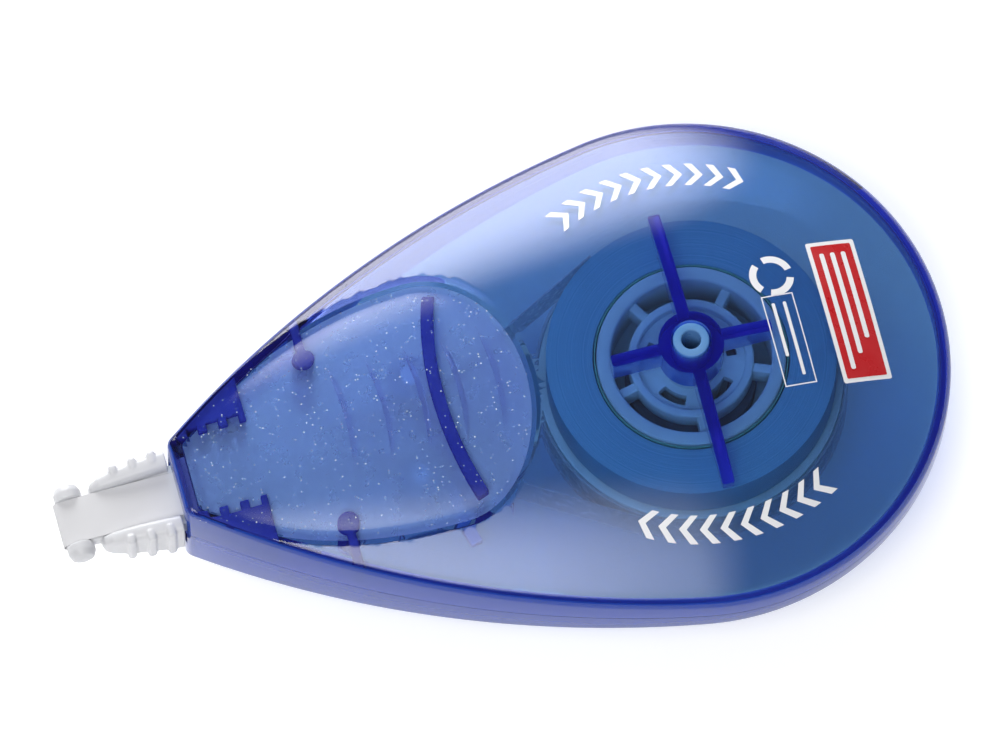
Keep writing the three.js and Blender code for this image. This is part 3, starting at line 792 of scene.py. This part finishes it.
def upright_run(name, reel_radius, kind, side, z, width):
    """Off the reel, straight to the roller, and round it to where the twist starts."""
    roller = ROLLERS[kind]
    bend_radius = ROLLER_RADIUS + TAPE_CLEARANCE
    start, end, angle = crossed_tangent(reel_radius + 0.2, roller, bend_radius, side)
    points = [start + (end - start) * t for t in np.linspace(0.01, 1, 12)]
    last = math.pi + angle
    stop = -side * math.pi / 2
    turn = (stop - last + math.pi) % (2 * math.pi) - math.pi
    for t in np.linspace(0, 1, 6)[1:]:
        points.append(polar(bend_radius, last + turn * t, roller))
    return ribbon(name, [((x, y, z), (0, 0, 1)) for x, y in points], width)


def twist_run(name, kind, z, side, width):
    """From upright beside a guide roller to flat on the tongue."""
    x0, y0 = ROLLERS[kind]
    start = np.array([x0 - 0.3, y0 - side * (ROLLER_RADIUS + TAPE_CLEARANCE), z])
    end = np.array([-53.0, 0.0, MID_Z + side * 1.35])
    stations = []
    for t in np.linspace(0, 1, 40):
        eased = min(max((t - 0.05) / 0.63, 0), 1)
        eased = eased * eased * (3 - 2 * eased)
        turn = eased * math.pi / 2
        point = start + (end - start) * t
        point[2] = start[2] + (end[2] - start[2]) * eased
        stations.append((point, (0, math.sin(turn), math.cos(turn))))
    return ribbon(name, stations, width)


def tip_loop(name, width):
    """Flat along the top of the tongue, round its tip and back below."""
    clear = 0.2
    bend = (HEAD_LOW[0] + 0.4, 0)
    above = [(-52.9, 1.1 + clear), (-58, 1.1 + clear), (-62, 0.94 + clear), (-65, 0.72 + clear)]
    points = above + [polar(0.6, a, bend) for a in np.linspace(math.pi / 2, 1.5 * math.pi, 15)]
    points += [(x, -z) for x, z in above[::-1]]
    return ribbon(name, [((x, 0, MID_Z + z), (0, 1, 0)) for x, z in points], width)


# ---- prints on the top shell ----


def surface_z(x, y):
    return MID_Z + float(dome(np.array([x]), np.array([y]), CROWN_TOP)[0])


def print_patch(name, outline, lift_by=0.015, spacing=0.35):
    """A flat outline laid on the dome as a thin film of ink."""
    bm = bmesh.new()
    verts = [bm.verts.new((x, y, 0)) for x, y in outline]
    bm.faces.new(verts)
    bmesh.ops.triangulate(bm, faces=bm.faces)
    for _ in range(6):
        long_edges = [e for e in bm.edges if e.calc_length() > spacing * 2]
        if not long_edges:
            break
        bmesh.ops.subdivide_edges(bm, edges=long_edges, cuts=1)
        bmesh.ops.triangulate(bm, faces=bm.faces)
    made = bmesh.ops.extrude_face_region(bm, geom=list(bm.faces))
    raised = {v for v in made["geom"] if isinstance(v, bmesh.types.BMVert)}
    for v in bm.verts:
        v.co.z = surface_z(v.co.x, v.co.y) + lift_by + (0.02 if v in raised else 0)
    mesh = bpy.data.meshes.new(name)
    bmesh.ops.recalc_face_normals(bm, faces=bm.faces)
    bm.to_mesh(mesh)
    bm.free()
    mesh.transform(Matrix.Scale(MM, 4))
    return add_object(name, mesh)


def on_arc(points, radius, middle):
    """Points given along and across an arc about the axle, as seen from outside it."""
    return [polar(radius + up, middle - along / radius) for along, up in points]


def chevron(width, height, stroke):
    """An arrowhead outline that points along +x."""
    w, h = width / 2, height / 2
    return [(-w, h), (-w + stroke, h), (w, 0), (-w + stroke, -h), (-w, -h), (w - stroke, 0)]


def rectangle(x0, x1, y0, y1, radius=0.0):
    outline = [(x0, y0), (x1, y0), (x1, y1), (x0, y1)]
    return rounded(outline, radius) if radius else outline


def arc_marks(name, middle, count=10, half_sweep=math.radians(28)):
    """A row of plain arrowheads along an arc round the axle, where the product has lettering."""
    mark = chevron(2.0, 2.8, 0.8)
    places = [middle + half_sweep * (1 - 2 * i / (count - 1)) for i in range(count)]
    return print_patches(name, [on_arc(mark, PRINT_RADIUS, at) for at in places])


def ring_marks(name, centre, radius, stroke, pieces=3, gap=0.5):
    """A broken ring of equal arcs."""
    outlines = []
    for i in range(pieces):
        angles = np.linspace(gap / 2, 2 * math.pi / pieces - gap / 2, 12) + 2 * math.pi * i / pieces
        outlines.append(band(radius - stroke / 2, radius + stroke / 2, angles, centre))
    return print_patches(name, outlines)


def print_patches(name, outlines, lift_by=0.015):
    """Several patches of ink as one object."""
    made = [print_patch(name, outline, lift_by) for outline in outlines]
    bm = bmesh.new()
    for obj in made:
        bm.from_mesh(obj.data)
    bm.to_mesh(made[0].data)
    bm.free()
    for obj in made[1:]:
        mesh = obj.data
        bpy.data.objects.remove(obj)
        bpy.data.meshes.remove(mesh)
    return made[0]


# ---- materials ----


class Nodes:
    """Short names for building a material's node tree."""

    def __init__(self, name):
        self.material = bpy.data.materials.new(name)
        self.material.use_nodes = True
        self.tree = self.material.node_tree
        self.tree.nodes.clear()
        self.output = self.add("ShaderNodeOutputMaterial")

    def add(self, kind, **settings):
        node = self.tree.nodes.new(kind)
        for key, value in settings.items():
            setattr(node, key, value)
        return node

    def link(self, source, target):
        self.tree.links.new(source, target)

    def surface(self, source):
        self.link(source, self.output.inputs["Surface"])

    def coordinates(self):
        """Object coordinates in millimetres."""
        place = self.add("ShaderNodeTexCoord")
        mapping = self.add("ShaderNodeMapping")
        mapping.inputs["Scale"].default_value = (1 / MM,) * 3
        self.link(place.outputs["Object"], mapping.inputs["Vector"])
        return mapping.outputs["Vector"]

    def noise(self, scale, detail):
        """Noise with scale cells to the millimetre."""
        node = self.add("ShaderNodeTexNoise")
        node.inputs["Scale"].default_value = scale
        node.inputs["Detail"].default_value = detail
        self.link(self.coordinates(), node.inputs["Vector"])
        return node.outputs["Fac"]

    def ramp(self, source, stops):
        node = self.add("ShaderNodeValToRGB")
        while len(node.color_ramp.elements) < len(stops):
            node.color_ramp.elements.new(0.5)
        for element, (position, value) in zip(node.color_ramp.elements, stops):
            element.position = position
            element.color = (*value, 1) if isinstance(value, tuple) else (value, value, value, 1)
        self.link(source, node.inputs["Fac"])
        return node.outputs["Color"]

    def range(self, source, low, high, from_low=0.0, from_high=1.0):
        node = self.add("ShaderNodeMapRange")
        node.inputs["From Min"].default_value = from_low
        node.inputs["From Max"].default_value = from_high
        node.inputs["To Min"].default_value = low
        node.inputs["To Max"].default_value = high
        self.link(source, node.inputs["Value"])
        return node.outputs["Result"]

    def blend(self, factor, first, second):
        """First where factor is 0 and second where it is 1."""
        node = self.add("ShaderNodeMix")
        self.link(factor, node.inputs["Factor"])
        self.link(first, node.inputs["A"])
        self.link(second, node.inputs["B"])
        return node.outputs["Result"]

    def blend_colour(self, factor, first, second):
        """A colour between two, each a plain colour or a socket."""
        node = self.add("ShaderNodeMix", data_type="RGBA")
        inputs = [socket for socket in node.inputs if socket.type == "RGBA"]
        self.link(factor, node.inputs["Factor"])
        for socket, value in zip(inputs, (first, second)):
            if isinstance(value, tuple):
                socket.default_value = (*value, 1)
            else:
                self.link(value, socket)
        return next(socket for socket in node.outputs if socket.type == "RGBA")

    def maths(self, operation, first, second):
        node = self.add("ShaderNodeMath", operation=operation)
        self.link(first, node.inputs[0])
        if isinstance(second, float):
            node.inputs[1].default_value = second
        else:
            self.link(second, node.inputs[1])
        return node.outputs[0]

    def scaled(self, source, amount):
        return self.maths("MULTIPLY", source, amount)

    def largest(self, first, *others):
        for other in others:
            first = self.maths("MAXIMUM", first, other)
        return first

    def bump(self, source, distance, strength=1.0):
        node = self.add("ShaderNodeBump")
        node.inputs["Distance"].default_value = distance * MM
        node.inputs["Strength"].default_value = strength
        self.link(source, node.inputs["Height"])
        return node.outputs["Normal"]


def principled(nodes, **values):
    shader = nodes.add("ShaderNodeBsdfPrincipled")
    for key, value in values.items():
        shader.inputs[key.replace("_", " ")].default_value = value
    return shader


WALL_TINT = (0.40, 0.74, 0.72)  # what one casing wall lets through, beside what its depth takes off
ABSORB_COLOUR = (0.417, 0.217, 0.808, 1)
ABSORB_DENSITY = 600.0
THICK_COLOUR = (0.14, 0.32, 0.82)  # the deep violet that thick plastic scatters
OUTER_WALL_SHADE = (0.01, 0.06, 0.40)  # painted shade: a darker copy of it for the outer side wall, where the lamps reach it
FROST_TINT = (0.75, 1.0, 0.86)  # of the frosted underside of the grip
VIOLET = (0.032, 0.035, 0.30)  # of fittings that lie right under the skin

# The face attributes that steer the casing's one material.
FROST = "frost"  # 1 on the frosted underside of the top grip
PAINTED_GLINT = "painted_glint"  # 1 on the outside of the top grip, where painted glints shine as white specks
THICK_AND_SHADE = "thick"  # how much a face shows thick plastic; 0.45 gives the outer side wall painted shade


def casing_material(name, haze):
    """Translucent blue plastic, deeper in colour where it is thicker, with a frosted grip, painted glints on
    the grip and painted shade on the outer side wall.
    """
    nodes = Nodes(name)
    shader = principled(nodes, Transmission_Weight=1.0, IOR=1.49)
    frost = nodes.add("ShaderNodeAttribute", attribute_name=FROST).outputs["Fac"]
    thick = nodes.add("ShaderNodeAttribute", attribute_name=THICK_AND_SHADE).outputs["Fac"]
    painted_glint = nodes.add("ShaderNodeAttribute", attribute_name=PAINTED_GLINT).outputs["Fac"]
    # painted glints: white specks in the base colour, made less see-through
    glint_speck = nodes.scaled(painted_sparkle(nodes), painted_glint)
    # the stops at 0.4 and 0.5 are painted shade for the outer side wall
    stops = [(0.0, WALL_TINT), (0.4, OUTER_WALL_SHADE), (0.5, OUTER_WALL_SHADE), (0.7, THICK_COLOUR)]
    wall = nodes.ramp(thick, stops)
    tint = nodes.blend_colour(frost, wall, FROST_TINT)
    nodes.link(nodes.blend_colour(glint_speck, tint, (0.85, 0.9, 0.95)), shader.inputs["Base Color"])

    polished = nodes.range(nodes.noise(0.12, 4.0), 0.02, 0.06, 0.3, 0.7)
    matt = nodes.range(nodes.noise(0.6, 3.0), 0.26, 0.32, 0.3, 0.7)
    nodes.link(nodes.blend(frost, polished, matt), shader.inputs["Roughness"])

    milky = nodes.scaled(nodes.range(nodes.noise(2.5, 2.0), haze * 0.85, haze * 1.15, 0.3, 0.7), frost)
    solid = nodes.largest(milky, nodes.scaled(glint_speck, 0.8), nodes.range(thick, 0.0, 0.8, 0.0, 0.5))
    nodes.link(nodes.range(solid, 1.0, 0.0), shader.inputs["Transmission Weight"])

    waves = nodes.scaled(nodes.noise(0.35, 2.0), 0.4)
    nodes.link(nodes.bump(waves, 0.003, 0.5), shader.inputs["Normal"])
    nodes.surface(lamps_through(nodes, shader.outputs[0]))
    absorb = nodes.add("ShaderNodeVolumeAbsorption")
    absorb.inputs["Color"].default_value = ABSORB_COLOUR
    absorb.inputs["Density"].default_value = ABSORB_DENSITY
    nodes.link(absorb.outputs[0], nodes.output.inputs["Volume"])
    return nodes.material


def painted_sparkle(nodes):
    """Painted glints: fine bright specks, one small cell in many."""
    cells = nodes.add("ShaderNodeTexVoronoi")
    cells.inputs["Scale"].default_value = 3.8
    nodes.link(nodes.coordinates(), cells.inputs["Vector"])
    pick = nodes.add("ShaderNodeSeparateColor")
    nodes.link(cells.outputs["Color"], pick.inputs["Color"])
    chosen = nodes.range(pick.outputs["Red"], 0.0, 1.0, 0.88, 1.0)
    near = nodes.range(cells.outputs["Distance"], 1.0, 0.0, 0.2, 0.4)
    return nodes.scaled(chosen, near)


def lamps_through(nodes, glass):
    """Lets light reach what the casing holds, where plain glass would hold it back."""
    path = nodes.add("ShaderNodeLightPath")
    clear = nodes.add("ShaderNodeBsdfTransparent")
    clear.inputs["Color"].default_value = (*[math.sqrt(c) for c in WALL_TINT], 1)
    mix = nodes.add("ShaderNodeMixShader")
    nodes.link(path.outputs["Is Shadow Ray"], mix.inputs["Fac"])
    nodes.link(glass, mix.inputs[1])
    nodes.link(clear.outputs[0], mix.inputs[2])
    return mix.outputs[0]


def moulded_material(name, colour, roughness=0.4, variation=0.04, subsurface=0.0, ior=1.49):
    """Satin moulded plastic with faint flow marks."""
    nodes = Nodes(name)
    shader = principled(nodes, IOR=ior)
    low = tuple(max(c - variation, 0) for c in colour)
    high = tuple(min(c + variation, 1) for c in colour)
    nodes.link(nodes.ramp(nodes.noise(0.25, 4.0), [(0.3, low), (0.7, high)]), shader.inputs["Base Color"])
    spread = nodes.range(nodes.noise(0.8, 3.0), roughness - 0.06, roughness + 0.06, 0.3, 0.7)
    nodes.link(spread, shader.inputs["Roughness"])
    nodes.link(nodes.bump(nodes.noise(2.5, 2.0), 0.01, 0.5), shader.inputs["Normal"])
    if subsurface:
        shader.inputs["Subsurface Weight"].default_value = subsurface
        shader.inputs["Subsurface Radius"].default_value = (1.0, 1.0, 1.0)
        shader.inputs["Subsurface Scale"].default_value = 0.8 * MM
    nodes.surface(shader.outputs[0])
    return nodes.material


def clear_film_material(name):
    """Thin film, half see-through: the bare carrier, and the runs of tape inside the casing."""
    nodes = Nodes(name)
    shader = principled(nodes, IOR=1.45, Alpha=0.45)
    nodes.link(
        nodes.ramp(nodes.noise(0.5, 3.0), [(0.3, (0.52, 0.58, 0.64)), (0.7, (0.60, 0.66, 0.71))]),
        shader.inputs["Base Color"],
    )
    nodes.link(nodes.range(nodes.noise(1.0, 2.0), 0.2, 0.3, 0.3, 0.7), shader.inputs["Roughness"])
    nodes.surface(shader.outputs[0])
    return nodes.material


def wound_tape_material(name):
    """Edges of wound film: fine rings round the axle on the faces, and a smooth white side."""
    nodes = Nodes(name)
    shader = principled(nodes, IOR=1.45)
    place = nodes.add("ShaderNodeTexCoord")
    split = nodes.add("ShaderNodeSeparateXYZ")
    nodes.link(place.outputs["Object"], split.inputs["Vector"])
    flat = nodes.add("ShaderNodeCombineXYZ")
    nodes.link(split.outputs["X"], flat.inputs["X"])
    nodes.link(split.outputs["Y"], flat.inputs["Y"])
    length = nodes.add("ShaderNodeVectorMath", operation="LENGTH")
    nodes.link(flat.outputs[0], length.inputs[0])
    turns = nodes.add("ShaderNodeTexNoise", noise_dimensions="1D")
    turns.inputs["Scale"].default_value = 6500.0
    turns.inputs["Detail"].default_value = 4.0
    nodes.link(length.outputs["Value"], turns.inputs["W"])
    colour = nodes.ramp(turns.outputs["Fac"], [(0.3, (0.17, 0.37, 0.48)), (0.7, (0.24, 0.46, 0.57))])
    nodes.link(colour, shader.inputs["Base Color"])
    shader.inputs["Roughness"].default_value = 0.45
    nodes.link(nodes.bump(turns.outputs["Fac"], 0.03, 0.5), shader.inputs["Normal"])
    nodes.surface(shader.outputs[0])
    return nodes.material


# ---- assembly ----


def place(obj, body, slot, node, material):
    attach(obj, body)
    if node:
        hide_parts(node)
    obj.data.materials.clear()
    obj.data.materials.append(material)
    return obj


def edge_distance(x, y):
    """How far points lie inside the casing's outline."""
    rear = REAR_RADIUS - np.hypot(x, y)
    side = SIDE_RADIUS - np.hypot(x - SIDE_CENTRE[0], np.abs(y) - SIDE_CENTRE[1])
    beside = x < -REAR_RADIUS * math.sin(SIDE_START)
    return np.minimum(np.where(beside, side, rear), x - NOSE_X)


def mark_casing(obj, crown, flip):
    """Marks the frosted underside of the top grip, its outside for painted glints, the hub, arms and walls as
    thick, and the outer side wall for painted shade.
    """
    count = len(obj.data.polygons)
    points = np.empty(count * 3, np.float32)
    obj.data.polygons.foreach_get("center", points)
    points = points.reshape(-1, 3) / MM
    if flip:
        points = points * (1, -1, -1) + (0, 0, 2 * MID_Z)
    x, y, z = points.T
    depth = MID_Z + dome(x, y, crown) - z
    edge = edge_distance(x, y)

    centre = np.array([(RECESS_REAR_X + RECESS_NOSE_X) / 2, RECESS_Y / 2])
    limits = recess_outline(0.1) - centre
    angles = np.arctan2(limits[:, 1], limits[:, 0])
    order = np.argsort(angles)
    reach = np.hypot(limits[:, 0], limits[:, 1])[order]
    offset = points[:, :2] - centre
    limit = np.interp(np.arctan2(offset[:, 1], offset[:, 0]), angles[order], reach)
    in_recess = np.hypot(offset[:, 0], offset[:, 1]) < limit
    under_skin = depth - RECESS_DEPTH - WALL
    near_nose = (x < -48) & (under_skin > -RECESS_DEPTH - 0.1)
    ceiling = (under_skin < 0.3) & ((under_skin > -0.3) | near_nose)
    # where painted glints go: the outside of the top grip
    painted_glint = in_recess & (depth < RECESS_DEPTH + 0.3) & (depth > RECESS_DEPTH - 0.3) & (not flip)
    frost = in_recess & ceiling & (edge > WALL + 0.2) & (not flip)

    skin = WALL + np.where(in_recess, RECESS_DEPTH, 0) + 0.15
    if flip:
        skin = skin + np.maximum(dome(x, y, crown) - MID_Z, 0)
    fitting = (depth > skin) & (np.hypot(x, y) < LONG_ARM + 1) & (not flip)
    inner_wall = (depth > skin) & (edge > WALL - 0.2) & (edge <= WALL + 0.15)
    # the outer side wall gets 0.45, which the casing material turns into painted shade
    outer_wall_shade = edge < 0.3
    thick = np.select([fitting, inner_wall, outer_wall_shade], [1.0, 0.7, 0.45], 0.0)
    for name, values in ((FROST, frost), (PAINTED_GLINT, painted_glint), (THICK_AND_SHADE, thick)):
        attribute = obj.data.attributes.new(name, "FLOAT", "FACE")
        attribute.data.foreach_set("value", values.astype(np.float32))


casing_top = casing_material("casing_top_blue", 0.48)
casing_bottom = casing_material("casing_bottom_blue", 0.3)
violet = moulded_material("casing_thick_violet", VIOLET, 0.5, 0.008, ior=1.0)
deep_blue = moulded_material("casing_deep_blue", (0.16, 0.28, 0.70), 0.5, 0.02, ior=1.0)
post_blue = moulded_material("post_pale_blue", (0.40, 0.58, 0.85), 0.4, 0.02)
axle_blue = moulded_material("axle_blue", (0.10, 0.25, 0.52), 0.3, 0.02)
white = moulded_material("head_white", (0.61, 0.615, 0.64), 0.38, 0.012, 0.25)
natural = moulded_material("reel_natural", (0.62, 0.68, 0.66), 0.35, 0.02)
film = moulded_material("tape_film", (0.62, 0.62, 0.64), 0.5, 0.01)
veil = clear_film_material("coated_film_backlit")
carrier = clear_film_material("carrier_film")
roller_blue = moulded_material("roller_blue", (0.13, 0.24, 0.42), 0.35, 0.02)
green = moulded_material("leader_green", (0.16, 0.42, 0.30), 0.4, 0.02)
felt = moulded_material("clutch_felt_grey", (0.16, 0.18, 0.22), 0.8, 0.03)
wound = wound_tape_material("wound_tape")
ink = moulded_material("print_white", (0.80, 0.81, 0.83), 0.35, 0.02)
accent = moulded_material("print_red", (0.50, 0.02, 0.025), 0.3, 0.01)

top = place(top_shell(), "casing", "casing", "top_shell", casing_top)
mark_casing(top, CROWN_TOP, False)
shade(top, 30)
place(top_fittings(), "casing", "casing", None, violet)
bottom = place(bottom_shell(), "casing", "casing", "bottom_shell", casing_bottom)
mark_casing(bottom, CROWN_BOTTOM, True)
shade(bottom, 30)
place(bottom_fittings(), "casing", "casing", None, deep_blue)
for post in roller_posts():
    place(post, "casing", "casing", None, post_blue)

place(applicator_head(), "casing", "head", "applicator_head", white)
place(reel_axle(), "casing", "reel", "reel_axle", axle_blue)
place(supply_core(), "supply_reel", "reel", "supply_core", natural)
place(supply_tape(), "supply_reel", "tape", "supply_tape", wound)
place(leader_band(), "supply_reel", "leader", "leader_band", green)
place(takeup_drum(), "takeup_reel", "reel", "takeup_drum", natural)
place(takeup_tape(), "takeup_reel", "carrier", "takeup_tape", carrier)
place(clutch_ring(), "takeup_reel", "clutch", "clutch_ring", felt)
for kind in ROLLERS:
    place(guide_roller(kind), f"{kind}_roller", "reel", f"guide_roller_{kind}", roller_blue)

FEED_Z = (PACK_LOW[2] + PACK_HIGH[2]) / 2
RETURN_Z = (USED_LOW[2] + USED_HIGH[2]) / 2
feed_run = upright_run("feed_run", PACK_HIGH[0], "feed", 1, FEED_Z, TAPE_WIDTH)
place(feed_run, "casing", "tape", "tape_supply_run", veil)
place(twist_run("feed_twist", "feed", FEED_Z, 1, TAPE_WIDTH), "casing", "tape", "tape_feed_twist", veil)
place(tip_loop("tip_tape", 4.8), "casing", "tape", "tape_tip_loop", film)
return_twist = twist_run("return_twist", "return", RETURN_Z, -1, TAPE_WIDTH)
place(return_twist, "casing", "carrier", "tape_return_twist", carrier)
return_run = upright_run("return_run", USED_HIGH[0], "return", -1, RETURN_Z, TAPE_WIDTH)
place(return_run, "casing", "carrier", "tape_takeup_run", carrier)

frame_bars = [
    rectangle(8.2, 8.33, -7.2, 2.9),
    rectangle(11.47, 11.6, -7.2, 2.9),
    rectangle(8.33, 11.47, -7.2, -7.07),
    rectangle(8.33, 11.47, 2.77, 2.9),
    rectangle(10.3, 10.65, -6.2, 2.0, 0.15),
    rectangle(9.1, 9.45, -4.0, 2.0, 0.15),
]
white_marks = [
    arc_marks("print_front_marks", -math.pi / 2),
    arc_marks("print_rear_marks", math.pi / 2),
    ring_marks("print_ring", (9.95, 5.1), 1.95, 0.75),
    print_patches("print_box", frame_bars),
    print_patch("label_border", rectangle(14.36, 19.5, -7.8, 8.2, 0.25)),
]
for marks in white_marks:
    place(marks, "casing", "print", None, ink)
field = print_patch("label_field", rectangle(14.8, 19.06, -7.36, 7.76, 0.15), 0.05)
place(field, "casing", "print_accent", None, accent)
stripes = [rectangle(15.5 + 1.15 * i, 16.0 + 1.15 * i, -6.4 + 1.6 * i, 6.8, 0.2) for i in range(3)]
place(print_patches("label_stripes", stripes, 0.085), "casing", "print", None, ink)

# ---- floor, light and camera ----


def floor():
    """A wide pale sheet, in metres, just under the roller."""
    mesh = bpy.data.meshes.new("floor")
    corners = [(-3, -3), (3, -3), (3, 3), (-3, 3)]
    mesh.from_pydata([(x, y, -0.0001) for x, y in corners], [], [(0, 1, 2, 3)])
    obj = add_object("floor", mesh)
    nodes = Nodes("floor_pale")
    shader = principled(nodes, Roughness=0.9, Emission_Strength=FLOOR_GLOW)
    shader.inputs["Emission Color"].default_value = (1, 1, 1, 1)
    nodes.link(nodes.ramp(nodes.noise(0.01, 2.0), [(0.0, 0.86), (1.0, 0.88)]), shader.inputs["Base Color"])
    nodes.surface(shader.outputs[0])
    mesh.materials.append(nodes.material)


def softbox(name, direction, distance_mm, size_mm, radiance):
    """A rectangular lamp that faces the reels and fades out towards its edges."""
    width, height = (side * MM for side in size_mm)
    data = bpy.data.lights.new(name, "AREA")
    data.shape = "RECTANGLE"
    data.size, data.size_y = width, height
    data.energy = radiance * math.pi * width * height
    data.use_nodes = True
    tree = data.node_tree
    emission = tree.nodes["Emission"]
    place = tree.nodes.new("ShaderNodeNewGeometry")
    centred = tree.nodes.new("ShaderNodeVectorMath")
    centred.operation = "SUBTRACT"
    centred.inputs[1].default_value = (0.5, 0.5, 0)
    distance = tree.nodes.new("ShaderNodeVectorMath")
    distance.operation = "LENGTH"
    fade = tree.nodes.new("ShaderNodeMapRange")
    fade.interpolation_type = "SMOOTHSTEP"
    fade.inputs["From Min"].default_value = 0.5
    fade.inputs["From Max"].default_value = 0.12
    tree.links.new(place.outputs["Parametric"], centred.inputs[0])
    tree.links.new(centred.outputs[0], distance.inputs[0])
    tree.links.new(distance.outputs["Value"], fade.inputs["Value"])
    tree.links.new(fade.outputs[0], emission.inputs["Strength"])
    obj = add_object(name, data)
    towards = Vector(direction).normalized()
    obj.location = towards * distance_mm * MM
    obj.rotation_euler = (-towards).to_track_quat("-Z", "Y").to_euler()
    return obj


def world(strength):
    scene_world = bpy.data.worlds.new("studio")
    scene_world.use_nodes = True
    background = scene_world.node_tree.nodes["Background"]
    background.inputs["Color"].default_value = (1.0, 1.0, 1.0, 1)
    background.inputs["Strength"].default_value = strength
    bpy.context.scene.world = scene_world


def camera():
    azimuth, elevation = CAMERA_AZIMUTH, CAMERA_ELEVATION
    level = math.cos(elevation)
    back = Vector((math.sin(azimuth) * level, -math.cos(azimuth) * level, math.sin(elevation)))
    right = Vector((math.cos(azimuth), math.sin(azimuth), 0))
    up = back.cross(right)
    target = Vector((0, 0, SHELL_HIGH[2])) + right * VIEW_RIGHT + up * VIEW_UP
    data = bpy.data.cameras.new("camera")
    data.sensor_width = 36
    data.lens = data.sensor_width * CAMERA_DISTANCE / VIEW_WIDTH
    data.clip_start = 0.01
    data.clip_end = 20
    obj = add_object("camera", data)
    obj.location = (target + back * CAMERA_DISTANCE) * MM
    obj.rotation_euler = (-back).to_track_quat("-Z", "Y").to_euler()
    bpy.context.scene.camera = obj


floor()
world(WORLD_STRENGTH)
softbox("softbox_back", (-0.05, 0.93, 0.36), 1000, (1200, 900), 10)
softbox("softbox_left", (-0.30, -0.40, 0.86), 1000, (1100, 1000), 6.8)
camera()
bpy.context.scene.view_settings.view_transform = "Standard"
